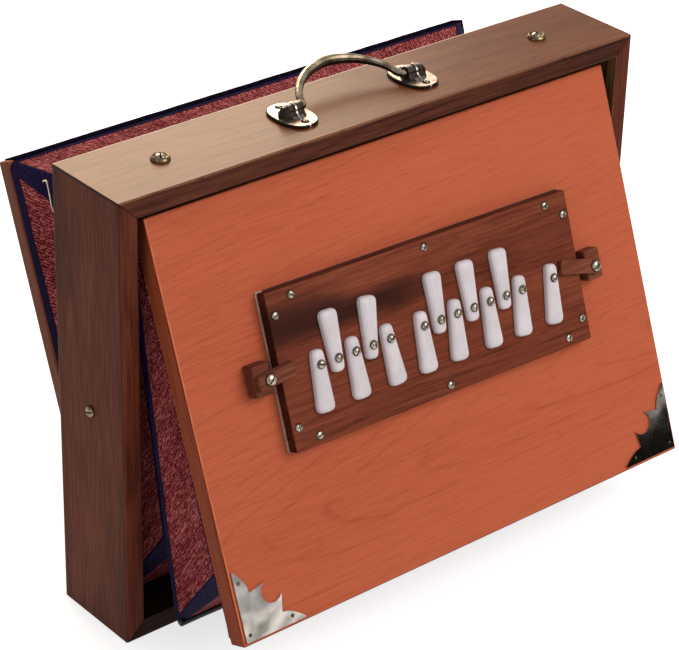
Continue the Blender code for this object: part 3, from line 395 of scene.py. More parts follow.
@dataclass(frozen=True)
class WoodFinish:
    """Varnished wood with skins on some of its faces."""

    name: str
    core: Timber
    skins: tuple[Skin, ...] = ()
    seat: Seat = Seat.FRAME
    streak: Streak | None = None
    arrises: tuple[Arris, ...] = ()
    rough: float = 0.45
    gloss: float = 0.06
    coat: float = 0.0
    coat_rough: float = 0.3
    coat_above: float | None = None
    rise: float = 0.00010

    def make(self) -> bpy.types.Material:
        """Return the finish's material."""
        sheet = Sheet(self.name, self.seat)
        coat: Level = self.coat
        if self.coat_above is not None:
            up = sheet.between(sheet.split(sheet.place)[2], self.coat_above - 0.0001, self.coat_above)
            coat = sheet.maths("MULTIPLY", up, self.coat)
        colour, height = self.core.paint(sheet)
        for skin in self.skins:
            colour, height = skin.lay(sheet, colour, height)
        if self.streak:
            colour = self.streak.lay(sheet, colour)
        for arris in self.arrises:
            colour = arris.lay(sheet, colour)
        rough = sheet.maths("MULTIPLY_ADD", height, -0.12, self.rough + 0.06)
        return sheet.finish(colour, height, self.rise, rough, Specular_IOR_Level=self.gloss,
                            Coat_Weight=coat, Coat_Roughness=self.coat_rough)


@dataclass(frozen=True)
class MetalFinish:
    """Metal with clouds of oxide, fine scratches and darker hollows; faces that don't face up get painted shade and
    dark reflection mixed with patina, and a raised line can keep a painted highlight.
    """

    name: str
    dark: Triple
    light: Triple
    rough: float
    cloud: float = 90.0
    scratch: float = 900.0
    rise: float = 0.00001
    waves: float = 0.0
    hollow: float = 0.0
    patina_and_shade_colour: Triple = (0.01, 0.008, 0.006)
    shade_and_tarnish: float = 0.0
    lit_to_shaded: tuple[float, float] = (0.9, 0.0)
    bead_highlight: tuple[float, float] | None = None

    def make(self) -> bpy.types.Material:
        """Return the finish's material."""
        sheet = Sheet(self.name)
        cloud = sheet.noise(sheet.place, 4.0, 0.55, self.cloud)
        scratch = sheet.noise(sheet.stretched((self.scratch, self.scratch * 0.2, self.scratch * 0.5)), 3.0)
        colour = sheet.ramp(cloud, ((0.34, self.dark), (0.62, self.light)))
        if self.hollow:
            shade = sheet.add("ShaderNodeAmbientOcclusion", samples=8)
            shade.inputs["Distance"].default_value = self.hollow
            share = sheet.between(shade.outputs["AO"], 0.95, 0.35)
            colour = sheet.blended(share, colour, self.patina_and_shade_colour)
        rough = sheet.maths("MULTIPLY_ADD", cloud, 0.16, self.rough - 0.08)
        # Faces that don't face up darken: painted shade and dark reflection, mixed with patina.
        if self.shade_and_tarnish:
            up = sheet.split(sheet.add("ShaderNodeTexCoord").outputs["Normal"])[2]
            share = sheet.maths("MULTIPLY", sheet.between(up, *self.lit_to_shaded), self.shade_and_tarnish)
            # A thin light line along each lug's raised middle line is left undarkened: a painted highlight.
            if self.bead_highlight:
                off = sheet.maths("SUBTRACT", sheet.split(sheet.place)[0], self.bead_highlight[0])
                off = sheet.maths("SUBTRACT", sheet.maths("ABSOLUTE", off), self.bead_highlight[1])
                off_highlight = sheet.between(sheet.maths("ABSOLUTE", off), 0.0003, 0.0008)
                share = sheet.maths("MULTIPLY", share, off_highlight)
            colour = sheet.blended(share, colour, self.patina_and_shade_colour)
            rough = sheet.maths("MULTIPLY_ADD", share, 0.2, rough)
        height = sheet.maths("MULTIPLY_ADD", scratch, 0.4, cloud)
        if self.waves:
            swell = sheet.noise(sheet.place, 1.0, 0.4, 55.0)
            height = sheet.maths("MULTIPLY_ADD", swell, self.waves / self.rise, height)
        return sheet.finish(colour, height, self.rise, rough, Metallic=1.0)


@dataclass(frozen=True)
class PlainFinish:
    """Plastic, felt, leather and painted shade: one colour broken up by faint clouds."""

    name: str
    dark: Triple
    light: Triple
    rough: float
    scale: float = 60.0
    rise: float = 0.00002
    coat: float = 0.0
    gloss: float = 0.5
    seat: Seat = Seat.FRAME
    edge_tints: tuple[Arris, ...] = ()
    soften: float = 0.0

    def make(self) -> bpy.types.Material:
        """Return the finish's material."""
        sheet = Sheet(self.name, self.seat)
        cloud = sheet.noise(sheet.place, 6.0, 0.55, self.scale)
        colour = sheet.ramp(cloud, ((0.35, self.dark), (0.65, self.light)))
        for tint in self.edge_tints:
            colour = tint.lay(sheet, colour)
        return sheet.finish(colour, cloud, self.rise, self.rough, self.soften, Coat_Weight=self.coat,
                            Coat_Roughness=0.15, Specular_IOR_Level=self.gloss)


@dataclass(frozen=True)
class ClothFinish:
    """Coated bookbinder's cloth or thin leather with a pattern that follows its own sheet."""

    name: str
    dark: Triple
    middle: Triple
    light: Triple
    crinkle: float
    rough: float
    rise: float
    line: float = 0.25
    gloss: float = 0.2
    lean: float = 1.25
    drawn: float = 0.8
    curl: float = 2.6

    def make(self) -> bpy.types.Material:
        """Return the finish's material."""
        sheet = Sheet(self.name)
        flat = sheet.add("ShaderNodeUVMap", uv_map="sheet").outputs["UV"]
        turned = sheet.stretched((1.0, 1.0, 1.0), turn=(0.0, 0.0, self.lean), where=flat)
        lean = sheet.stretched((self.crinkle * self.drawn, self.crinkle, 1.0), where=turned)
        bend = sheet.noise(lean, 2.0, 0.5, 0.9)
        strand = sheet.maths("MULTIPLY_ADD", bend, self.curl, sheet.split(lean)[1])
        strand = sheet.maths("SINE", sheet.maths("MULTIPLY", strand, 2 * math.pi))
        ends = sheet.between(sheet.noise(lean, 2.0, 0.5, 0.7), 0.28, 0.48)
        lines = sheet.maths("MULTIPLY", sheet.between(strand, self.line - 0.5, self.line + 0.5), ends)
        cloud = sheet.between(sheet.noise(sheet.stretched((28.0, 28.0, 1.0), where=flat), 3.0), 0.3, 0.7)
        grain = sheet.noise(sheet.stretched((2400.0, 2400.0, 1.0), where=flat), 2.0)
        level = sheet.maths("MULTIPLY_ADD", cloud, 0.2, sheet.maths("MULTIPLY", lines, 0.8))
        colour = sheet.ramp(level, ((0.0, self.dark), (0.45, self.middle), (1.0, self.light)))
        height = sheet.maths("MULTIPLY_ADD", grain, 0.15, lines)
        return sheet.finish(colour, height, self.rise, self.rough, Specular_IOR_Level=self.gloss)


Finish = WoodFinish | MetalFinish | PlainFinish | ClothFinish

VENEER = Timber(linear(148, 60, 38), linear(193, 97, 66), linear(207, 114, 83), pith=(0.026, -0.193),
                ring=0.0056, wander=0.0035, ring_depth=0.10, ring_edge=22.0, fibre_depth=0.10,
                cloud_depth=0.08, pore_depth=0.10, pore_share=0.40, lean=(0.0, 0.115, 0.09),
                wave=0.45, broken=0.9, seed=3.1)
REAR_VENEER = Timber(linear(148, 58, 38), linear(186, 92, 66), linear(202, 110, 82), pith=(-0.03, 0.130),
                     ring=0.0060, wander=0.004, ring_depth=0.12, ring_edge=22.0, fibre_depth=0.10,
                     cloud_depth=0.08, pore_depth=0.10, pore_share=0.40, lean=(0.0, -0.09, 0.10),
                     wave=0.45, broken=0.75, seed=8.3)
EDGE_WOOD = Timber(linear(92, 40, 22), linear(152, 76, 46), linear(178, 100, 64), pith=(0.0, 0.05),
                   ring=0.0030, ring_depth=0.10, fibre_depth=0.25, seed=5.7)
END_BAND = Timber(linear(92, 37, 20), linear(158, 76, 46), linear(186, 102, 64), Grain.Z, (0.0, 0.05),
                  ring=0.0030, ring_depth=0.10, fibre_depth=0.16, cloud_depth=0.16, pore_depth=0.06, seed=5.2)
REAR_BAND = Timber(linear(56, 28, 17), linear(112, 60, 41), linear(138, 80, 56), Grain.Z, (0.0, 0.05),
                   ring=0.0030, ring_depth=0.10, fibre_depth=0.20, cloud_depth=0.20, pore_depth=0.06, seed=5.9)
# Dark wood for the front board's bottom edge: painted shade.
PAINTED_SHADE_EDGE = Timber(linear(50, 22, 16), linear(92, 46, 34), linear(120, 64, 46), fibre_depth=0.3, seed=6.6)
SIDE_WALNUT = Timber(linear(46, 17, 7), linear(94, 42, 22), linear(126, 67, 40), Grain.Z, (-0.2, 0.9),
                     ring=0.0019, wander=0.0008, ring_depth=0.22, ring_edge=1.2, fibre_depth=0.26,
                     cloud_depth=0.24, pore_depth=0.12, seed=1.9)
END_WALNUT = Timber(linear(52, 22, 14), linear(102, 49, 34), linear(132, 71, 50), Grain.Z, (-0.2, 0.1),
                    ring=0.0032, ring_depth=0.14, fibre_depth=0.22, cloud_depth=0.30, pore_depth=0.12, seed=6.2)
RAIL_WALNUT = Timber(linear(28, 12, 8), linear(73, 37, 26), linear(104, 56, 40), Grain.X, (0.02, 0.2),
                     ring=0.0040, ring_depth=0.16, fibre_depth=0.24, cloud_depth=0.34, pore_depth=0.14, seed=2.6)
TOP_WALNUT = Timber(linear(62, 28, 12), linear(111, 58, 29), linear(140, 84, 48), Grain.X, (0.05, 0.2),
                    ring=0.0055, wander=0.004, ring_depth=0.12, ring_edge=5.0, fibre_depth=0.18,
                    cloud_depth=0.12, pore_depth=0.38, pore_share=0.35, seed=4.4)
# Dark walnut for the bottom rail: painted shade, as the rail lies in the board's shadow.
PAINTED_SHADE_WALNUT = Timber(linear(22, 10, 7), linear(50, 26, 18), linear(74, 42, 30), seed=2.9)
# Near-black wood for the frame's inner faces: painted shade in the hollow.
PAINTED_SHADE_INSIDE = Timber(linear(20, 11, 8), linear(44, 26, 18), linear(60, 38, 26), seed=9.0)
OLIVE_INSIDE = Timber(linear(60, 44, 26), linear(104, 80, 50), linear(130, 104, 68), Grain.Z, seed=9.4)
PANEL_WOOD = Timber(linear(56, 23, 14), linear(122, 60, 41), linear(152, 84, 59), pith=(0.03, 0.02),
                    ring=0.0040, wander=0.006, ring_depth=0.12, ring_edge=3.0, fibre_depth=0.18,
                    cloud_depth=0.16, pore_depth=0.20, seed=7.5)
PANEL_EDGE = Timber(linear(36, 14, 10), linear(78, 34, 25), linear(104, 50, 36), fibre_depth=0.4, seed=2.2)
BLOCK_WOOD = Timber(linear(66, 30, 20), linear(118, 64, 46), linear(150, 92, 68), pith=(0.01, -0.1),
                    ring=0.0028, ring_depth=0.14, fibre_depth=0.26, cloud_depth=0.24, seed=1.2)
PALE_WOOD = Timber(linear(140, 100, 66), linear(172, 134, 96), linear(196, 160, 122), ring=0.005, seed=3.7)

FRAME_LEFT = WoodFinish("frame_left_walnut", SIDE_WALNUT, (
    # The inner face is painted shade.
    Skin(END_WALNUT, 1, -0.0324, -1), Skin(PAINTED_SHADE_INSIDE, 0, -0.1880, 1)), arrises=(
        Arris((0, -0.1990, -1), (2, 0.2962, 1), linear(34, 13, 5), 0.9, patchy=False),))
FRAME_RIGHT = WoodFinish("frame_right_walnut", SIDE_WALNUT, (
    Skin(END_WALNUT, 1, -0.0324, -1), Skin(OLIVE_INSIDE, 0, 0.1880, -1)), arrises=(
        Arris((0, 0.1991, 1), (1, -0.0321, -1), linear(44, 20, 12), 0.8),))
FRAME_TOP = WoodFinish("frame_top_walnut", RAIL_WALNUT, (
    # The underside inside the frame is painted shade.
    Skin(TOP_WALNUT, 2, 0.2974, 1), Skin(PAINTED_SHADE_INSIDE, 2, 0.2860, -1)), arrises=(
        # A near-white line along the top's rear arris: a painted highlight.
        Arris((1, 0.0316, 1), (2, 0.2968, 1), linear(250, 216, 194), 0.85, patchy=False),
        Arris((1, -0.0321, -1), (2, 0.2970, 1), linear(150, 104, 76), 0.4),
        Arris((0, 0.1990, 1), (2, 0.2966, 1), linear(40, 20, 12), 0.85)),
                       coat=0.5, coat_rough=0.27, coat_above=0.2976)
# The bottom rail is painted dark all over as shade, darkest on its inner top face.
FRAME_BOTTOM = WoodFinish("frame_bottom_walnut", PAINTED_SHADE_WALNUT, (Skin(PAINTED_SHADE_INSIDE, 2, 0.0120, 1),))
FRONT_BOARD = WoodFinish("front_board_veneer", EDGE_WOOD, (
    Skin(VENEER, 1, -0.0130, -1), Skin(END_BAND, 0, -0.1796, -1), Skin(END_BAND, 0, 0.1796, 1),
    # The lowest strip of the board, along its bottom edge, is painted shade.
    Skin(PAINTED_SHADE_EDGE, 2, -0.2589, -1)), Seat.FRONT, arrises=(
        Arris((0, -0.1796, -1), (1, -0.0124, -1), linear(100, 28, 12), 0.8, 0.0001),
        # A thin light line along the left arris of the face: a painted highlight.
        Arris((0, -0.1787, -1), (1, -0.0133, -1), linear(216, 128, 90), 0.9, 0.0001),
        Arris((0, 0.1795, 1), (1, -0.0130, -1), linear(120, 74, 50), 0.8),
        # A dark line along the bottom arris: painted shade.
        Arris((2, -0.2588, -1), (1, -0.0127, -1), linear(104, 46, 37), 0.85)), rough=0.46)
REAR_BOARD = WoodFinish("rear_board_veneer", EDGE_WOOD, (
    Skin(REAR_VENEER, 1, 0.0100, 1), Skin(REAR_BAND, 0, -0.1816, -1), Skin(REAR_BAND, 0, 0.1816, 1)),
                        Seat.REAR, rough=0.46)
KEY_PANEL = WoodFinish("key_panel_wood", PANEL_EDGE, (Skin(PANEL_WOOD, 1, -0.0222, -1),), Seat.PANEL,
                       Streak((-0.124, 0.0275), (0.040, 0.0175), 0.0160, linear(44, 21, 15), 0.88), rough=0.40)
TURN_WOOD = WoodFinish("turn_button_wood", BLOCK_WOOD, seat=Seat.FRONT)
INSIDE_WOOD = WoodFinish("inside_wood", PALE_WOOD, rough=0.6)
BATTEN_WOOD = WoodFinish("hinge_batten_wood", RAIL_WALNUT)

IVORY = PlainFinish("key_ivory", linear(212, 202, 206), linear(226, 217, 221), 0.42, 70.0, 0.00001, 0.1,
                    soften=0.0006)
# The gasket's top edge is dark brown, except near its left end.
FELT = PlainFinish("gasket_felt", linear(178, 140, 122), linear(222, 198, 186), 0.9, 500.0, 0.0001,
                   seat=Seat.PANEL, edge_tints=(
                       Arris((2, 0.0480, 1), (0, -0.1150, 1), linear(64, 30, 22), 0.96, patchy=False),))
FLAP = PlainFinish("flap_leather", linear(120, 92, 66), linear(160, 128, 96), 0.75, 500.0, 0.0001)
# Near-black for screw slots and the rings round screw heads and nails: painted shade.
SLOT_SHADE = PlainFinish("painted_slot_shade", linear(14, 10, 8), linear(34, 26, 20), 0.7, 800.0, gloss=0.1)
EDGING = PlainFinish("edging_leather", linear(5, 4, 12), linear(24, 18, 36), 0.75, 300.0, 0.0001, gloss=0.0,
                     seat=Seat.REAR)
PIPING = PlainFinish("bar_leather", linear(5, 4, 10), linear(18, 14, 26), 0.34, 400.0, 0.0001, 0.1, 0.2)
STEEL = MetalFinish("screw_steel", linear(124, 116, 102), linear(190, 182, 166), 0.3, 300.0)
DULL_STEEL = MetalFinish("side_screw_steel", linear(96, 80, 64), linear(160, 144, 124), 0.42, 300.0)
SPRING = MetalFinish("spring_steel", linear(120, 116, 110), linear(180, 176, 170), 0.35)
CHROME = MetalFinish("corner_nickel", linear(184, 176, 166), linear(220, 214, 206), 0.11, 60.0, waves=0.0004)
# The brasses darken faces that don't face up as painted shade and dark reflection mixed with patina; the plates
# keep a painted highlight along each lug's raised line.
BRASS = MetalFinish("bail_brass", linear(142, 122, 98), linear(222, 202, 174), 0.24, 120.0, hollow=0.006,
                    patina_and_shade_colour=linear(26, 19, 14), shade_and_tarnish=0.95, lit_to_shaded=(0.86, 0.10))
PLATE_BRASS = MetalFinish("plate_brass", linear(176, 160, 148), linear(212, 202, 194), 0.28, 160.0,
                          patina_and_shade_colour=linear(38, 27, 22), shade_and_tarnish=0.96, lit_to_shaded=(0.95, 0.80),
                          bead_highlight=(-0.0047, 0.0472))
NAIL = MetalFinish("nail_steel", linear(70, 62, 52), linear(126, 118, 104), 0.25, 300.0)
CUP = MetalFinish("cup_brass", linear(84, 66, 46), linear(146, 126, 98), 0.32, 300.0)
WIRE = MetalFinish("hook_wire", linear(150, 136, 118), linear(214, 202, 184), 0.3, 400.0)
MAROON = ClothFinish("maroon_cloth", linear(92, 12, 19), linear(142, 46, 50), linear(212, 122, 120),
                     500.0, 0.6, 0.0003, gloss=0.08)
NAVY = ClothFinish("navy_leather", linear(14, 8, 34), linear(24, 13, 50), linear(48, 30, 80),
                   1500.0, 0.5, 0.00008, gloss=0.08)


@dataclass
class Palette:
    """Materials made so far, each once."""

    made: dict[str, bpy.types.Material] = field(default_factory=dict)

    def get(self, finish: Finish) -> bpy.types.Material:
        """Return a finish's material, made on first use."""
        if finish.name not in self.made:
            self.made[finish.name] = finish.make()
        return self.made[finish.name]

    def dress(self, node: str, finish: Finish) -> None:
        """Give a solid its finish."""
        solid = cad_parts[node]
        solid.data.materials.clear()
        solid.data.materials.append(self.get(finish))


def settle(name: str, bm: bmesh.types.BMesh, palette: Palette, finishes: Sequence[Finish],
           body: str | None = None, stands_for: Sequence[str] = (), sharp: float = 35.0) -> bpy.types.Object:
    """Make an object of a finished mesh.

    Args:
        name: the piece's name.
        bm: its mesh, freed here.
        palette: materials.
        finishes: its finishes, in the order of its material numbers.
        body: the body it rides on, or None where it is blended later.
        stands_for: solids that it replaces.
        sharp: angle in degrees past which an edge stays sharp.

    Returns:
        The piece.
    """
    mesh = bpy.data.meshes.new(name)
    bm.to_mesh(mesh)
    bm.free()
    for finish in finishes:
        mesh.materials.append(palette.get(finish))
    mesh.shade_smooth()
    mesh.set_sharp_from_angle(angle=math.radians(sharp))
    piece = bpy.data.objects.new(name, mesh)
    bpy.context.collection.objects.link(piece)
    if body:
        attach(piece, body)
    if stands_for:
        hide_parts(*stands_for)
    return piece


def spun(profile: Sequence[tuple[float, float]], steps: int = 32) -> bmesh.types.BMesh:
    """Spin a profile of radius and height about Z into a closed body.

    Args:
        profile: points from the axis out and back to it.
        steps: steps round the axis.

    Returns:
        The body.
    """
    bm = bmesh.new()
    verts = [bm.verts.new((radius, 0.0, height)) for radius, height in profile]
    edges = [bm.edges.new(pair) for pair in zip(verts, verts[1:])]
    bmesh.ops.spin(bm, geom=[*verts, *edges], axis=(0.0, 0.0, 1.0), cent=(0.0, 0.0, 0.0),
                   angle=2 * math.pi, steps=steps, use_merge=True)
    bmesh.ops.remove_doubles(bm, verts=bm.verts[:], dist=1e-6)
    bmesh.ops.recalc_face_normals(bm, faces=bm.faces[:])
    return bm


def tube(points: Sequence[Vector], radius: float, segments: int = 10) -> bmesh.types.BMesh:
    """Make a round bar along a path.

    Args:
        points: the path.
        radius: the bar's radius.
        segments: faces round it.

    Returns:
        The closed bar.
    """
    bm = bmesh.new()
    rings = []
    for index, point in enumerate(points):
        along = points[min(index + 1, len(points) - 1)] - points[max(index - 1, 0)]
        place = Matrix.Translation(point) @ along.to_track_quat("Z", "X").to_matrix().to_4x4()
        end = index in (0, len(points) - 1)
        made = bmesh.ops.create_circle(bm, cap_ends=end, segments=segments, radius=radius, matrix=place)["verts"]
        rings.append([edge for edge in bm.edges if all(vert in made for vert in edge.verts)])
    for ring, following in zip(rings, rings[1:]):
        bmesh.ops.bridge_loops(bm, edges=ring + following)
    bmesh.ops.recalc_face_normals(bm, faces=bm.faces[:])
    return bm


@dataclass(frozen=True)
class ScrewHead:
    """A round slotted head with painted shade in its slot and a thin ring of painted shade round its foot, unless
    it sits in a cup.
    """

    radius: float
    height: float
    slot: float = 0.0008
    depth: float = 0.0010
    shade_ring: float = 0.0003
    cup: tuple[tuple[float, float], ...] = ()

    def profile(self) -> list[tuple[float, float]]:
        """Return the head's profile from its crown out to its foot and back to the axis."""
        base = self.cup[0][1] if self.cup else 0.0
        crown = [(self.radius * math.sin(a), base + (self.height - base) * math.cos(a) ** 0.75)
                 for a in (math.radians(turn) for turn in (0, 15, 30, 45, 58, 70, 80))]
        if self.cup:
            return [*crown, (self.radius, base), *self.cup[1:], (0.0, 0.0)]
        # A thin ring of painted shade round the foot.
        rim = self.radius + self.shade_ring
        return [*crown, (self.radius, 0.00012), (rim, 0.00012), (rim, 0.0), (0.0, 0.0)]

    def build(self) -> bmesh.types.BMesh:
        """Build the head standing on the XY plane, its slot along X.

        Returns:
            The head: material 0 is metal, 1 painted shade in the slot and round the foot, and 2 the cup.
        """
        bm = spun(self.profile())
        half, floor = self.slot / 2, self.height - self.depth
        cuts = (((0.0, half, 0.0), (0.0, 1.0, 0.0)), ((0.0, -half, 0.0), (0.0, 1.0, 0.0)),
                ((0.0, 0.0, floor), (0.0, 0.0, 1.0)))
        for place, way in cuts:
            bmesh.ops.bisect_plane(bm, geom=[*bm.verts, *bm.edges, *bm.faces], dist=1e-7,
                                   plane_co=place, plane_no=way)
        reach = self.radius * 1.001
        strip = [f for f in bm.faces if abs(f.calc_center_median().y) < half
                 and f.calc_center_median().z > floor and f.calc_center_median().xy.length < reach]
        made = bmesh.ops.extrude_face_region(bm, geom=strip)["geom"]
        for vert in (part for part in made if isinstance(part, bmesh.types.BMVert)):
            vert.co.z = floor
        bmesh.ops.remove_doubles(bm, verts=bm.verts[:], dist=2e-6)
        bmesh.ops.recalc_face_normals(bm, faces=bm.faces[:])
        # The slot and the ring round the foot get material 1, painted shade.
        for face in bm.faces:
            middle = face.calc_center_median()
            in_slot = all(abs(v.co.y) < half + 1e-6 and floor - 1e-6 < v.co.z for v in face.verts)
            if in_slot and middle.xy.length < self.radius:
                face.material_index = 1
            elif middle.xy.length > self.radius * 1.001:
                face.material_index = 2 if self.cup else 1
        return bm

    def add(self, name: str, palette: Palette, place: Matrix, turn: float, body: str,
            stands_for: Sequence[str] = (), metal: Finish = STEEL) -> None:
        """Add a screw's head.

        Args:
            name: the piece's name.
            palette: materials.
            place: matrix of its foot, its axis along Z.
            turn: turn of its slot in degrees.
            body: the body it rides on.
            stands_for: the solid that it replaces.
            metal: finish of the head.
        """
        bm = self.build()
        bmesh.ops.transform(bm, matrix=place @ Matrix.Rotation(math.radians(turn), 4, "Z"), verts=bm.verts[:])
        settle(name, bm, palette, (metal, SLOT_SHADE, CUP) if self.cup else (metal, SLOT_SHADE), body, stands_for)


def on_face(seat: Seat, x: float, down: float, lift: float) -> Matrix:
    """Return the place of a piece that stands on the front board's or the panel's face.

    Args:
        seat: the axes that x and down are measured in.
        x: across.
        down: down the board.
        lift: out from the board's face.

    Returns:
        The matrix, its Z axis pointing out of the face.
    """
    return (seat.value @ Matrix.Translation((x, BOARD_FACE - lift, -down))
            @ Matrix.Rotation(math.radians(90), 4, "X"))


@dataclass
class FrameBox:
    """The walnut frame with the screws that hold its partition."""

    height: float = 0.298
    half: float = 0.200
    top_inset: float = 0.0525
    gap: float = 0.0003
    woods: dict[str, Finish] = field(default_factory=lambda: {
        "frame_left": FRAME_LEFT, "frame_right": FRAME_RIGHT, "frame_top": FRAME_TOP,
        "frame_bottom": FRAME_BOTTOM, "partition_board": INSIDE_WOOD, "front_hinge_batten": BATTEN_WOOD,
        "rear_hinge_batten": BATTEN_WOOD, "partition_valve_flap": FLAP})
    cup_head: ScrewHead = ScrewHead(0.0033, 0.0031, 0.0009, 0.0012, cup=(
        (0.0033, 0.00105), (0.0040, 0.0012), (0.0044, 0.0020), (0.0048, 0.0021), (0.0052, 0.0018),
        (0.0058, 0.0008), (0.0060, 0.0003), (0.0060, 0.0)))
    side_head: ScrewHead = ScrewHead(0.0036, 0.0020, 0.0009, 0.0010)

    def build(self, palette: Palette) -> None:
        """Dress the boards and add the screws."""
        for node, finish in self.woods.items():
            palette.dress(node, finish)
        for side, turn in ((Side.LEFT, 60.0), (Side.RIGHT, 20.0)):
            word = side.name.lower()
            x = side.value * (self.half - self.top_inset)
            place = Matrix.Translation((x, 0.0, self.height + self.gap))
            self.cup_head.add(f"top_screw_{word}_head", palette, place, turn, "frame", (f"top_screw_{word}",))
            out = Matrix.Rotation(side.value * math.radians(90), 4, "Y")
            place = Matrix.Translation((side.value * (self.half + self.gap), 0.0, self.height / 2)) @ out
            self.side_head.add(f"side_screw_{word}_head", palette, place, turn + 50.0, "frame",
                               (f"side_screw_{word}",), DULL_STEEL)
        LOG.info("frame: %d boards and parts dressed, 4 screws", len(self.woods))


@dataclass
class CarryingHandle:
    """The brass handle: two lugged plates, the bail and four screws."""

    centre: float = -0.0047
    middle_y: float = -0.0010
    spread: float = 0.0472
    hole: float = 0.0125
    plate_top: float = 0.3001
    head: ScrewHead = ScrewHead(0.0016, 0.0009, 0.0006, 0.0006, 0.0010)

    def build(self, palette: Palette) -> None:
        """Dress the plates and the bail and add their screws."""
        palette.dress("handle_bail", BRASS)
        for node in ("handle_plate_left", "handle_plate_right"):
            palette.dress(node, PLATE_BRASS)
        for side in Side:
            for end, way in (("front", -1), ("back", 1)):
                x = self.centre + side.value * self.spread
                place = Matrix.Translation((x, self.middle_y + way * self.hole, self.plate_top))
                name = f"plate_screw_{side.name.lower()}_{end}"
                self.head.add(name, palette, place, 35.0 * way + 80.0 * side.value, "frame", metal=PLATE_BRASS)
        LOG.info("handle: 3 parts dressed, 4 screws")


@dataclass
class KeyPanel:
    """The key panel with its gasket, keys, turn buttons and all its screws."""

    pitch: float = 0.01335
    centre: float = 0.0003
    row_down: float = 0.0015
    slots: tuple[int, ...] = (0, 1, 2, 3, 4, 6, 7, 8, 9, 10, 11, 12, 14)
    key_turns: tuple[float, ...] = (-20, 80, 60, 100, 35, 35, 95, 45, 80, 35, 40, 120, 30)
    key_head: ScrewHead = ScrewHead(0.0026, 0.0019, 0.0007, 0.0010)
    key_lift: float = 0.0142
    face: float = 0.0090
    panel_head: ScrewHead = ScrewHead(0.0025, 0.0013, 0.0006, 0.0008)
    panel_screws: tuple[tuple[float, float, float], ...] = (
        (-0.101, -0.043, 140), (-0.1145, -0.034, 30), (0.0015, -0.0435, 60), (0.101, -0.043, 20),
        (0.1145, -0.034, 75), (0.1145, 0.034, 110), (0.101, 0.043, 80), (0.0015, 0.0435, 55),
        (-0.101, 0.043, 15), (-0.1145, 0.034, 100))
    button_lift: float = 0.0135
    turn_head: ScrewHead = ScrewHead(0.0036, 0.0022, 0.0009, 0.0011)
    buttons: tuple[tuple[str, float, float, float], ...] = (
        ("left", -0.1290, 0.1106, 40.0), ("right", 0.1306, 0.1190, 25.0))

    def build(self, palette: Palette) -> None:
        """Dress the panel and its parts and add the screws."""
        palette.dress("key_panel", KEY_PANEL)
        palette.dress("panel_gasket", FELT)
        palette.dress("reed_block", INSIDE_WOOD)
        middle = (self.slots[0] + self.slots[-1]) / 2
        for number, (slot, turn) in enumerate(zip(self.slots, self.key_turns), 1):
            palette.dress(f"key_{number:02d}", IVORY)
            x = self.centre + (slot - middle) * self.pitch
            place = on_face(Seat.PANEL, x, self.row_down, self.key_lift)
            self.key_head.add(f"key_screw_{number:02d}_head", palette, place, turn, "front",
                              (f"key_screw_{number:02d}",))
        for number, (x, down, turn) in enumerate(self.panel_screws, 1):
            place = on_face(Seat.PANEL, x, down, self.face)
            self.panel_head.add(f"panel_screw_{number:02d}", palette, place, turn, "front")
        for word, x, down, turn in self.buttons:
            palette.dress(f"turn_block_{word}", TURN_WOOD)
            palette.dress(f"turn_button_{word}", TURN_WOOD)
            place = on_face(Seat.FRONT, x, down, self.button_lift)
            self.turn_head.add(f"turn_screw_{word}_head", palette, place, turn, "front",
                               (f"turn_screw_{word}",))
        LOG.info("key panel: 13 keys, %d screws", 13 + len(self.panel_screws) + 2)


@dataclass
class FrontBoard:
    """The reservoir's board with its two corner plates and their nails."""

    half: float = 0.180
    inset: float = 0.0022
    nails: tuple[tuple[float, float], ...] = ((0.0031, 0.0362), (0.0033, 0.0041), (0.0348, 0.0043))
    nail_radius: float = 0.0008
    plate_lift: float = 0.0011

    def build(self, palette: Palette) -> None:
        """Dress the board and the plates and add the nails."""
        palette.dress("front_board", FRONT_BOARD)
        for side in Side:
            word = side.name.lower()
            palette.dress(f"corner_plate_{word}", CHROME)
            bm = bmesh.new()
            for u, v in self.nails:
                x = side.value * (self.half - self.inset - u)
                head = spun(((0.0, 0.0005), (0.0003, 0.00045), (0.0006, 0.0003), (self.nail_radius, 0.0001),
                             (0.0012, 0.00006), (0.0012, 0.0), (0.0, 0.0)), 16)
                # The ring round each nail head is painted shade.
                for face in head.faces:
                    face.material_index = int(face.calc_center_median().xy.length > self.nail_radius)
                place = on_face(Seat.FRONT, x, BOARD_HEIGHT - self.inset - v, self.plate_lift)
                bmesh.ops.transform(head, matrix=place, verts=head.verts[:])
                part = bpy.data.meshes.new("nail")
                head.to_mesh(part)
                head.free()
                bm.from_mesh(part)
                bpy.data.meshes.remove(part)
            settle(f"corner_nails_{word}", bm, palette, (NAIL, SLOT_SHADE), "front")
        LOG.info("front board: 2 corner plates, 6 nails")


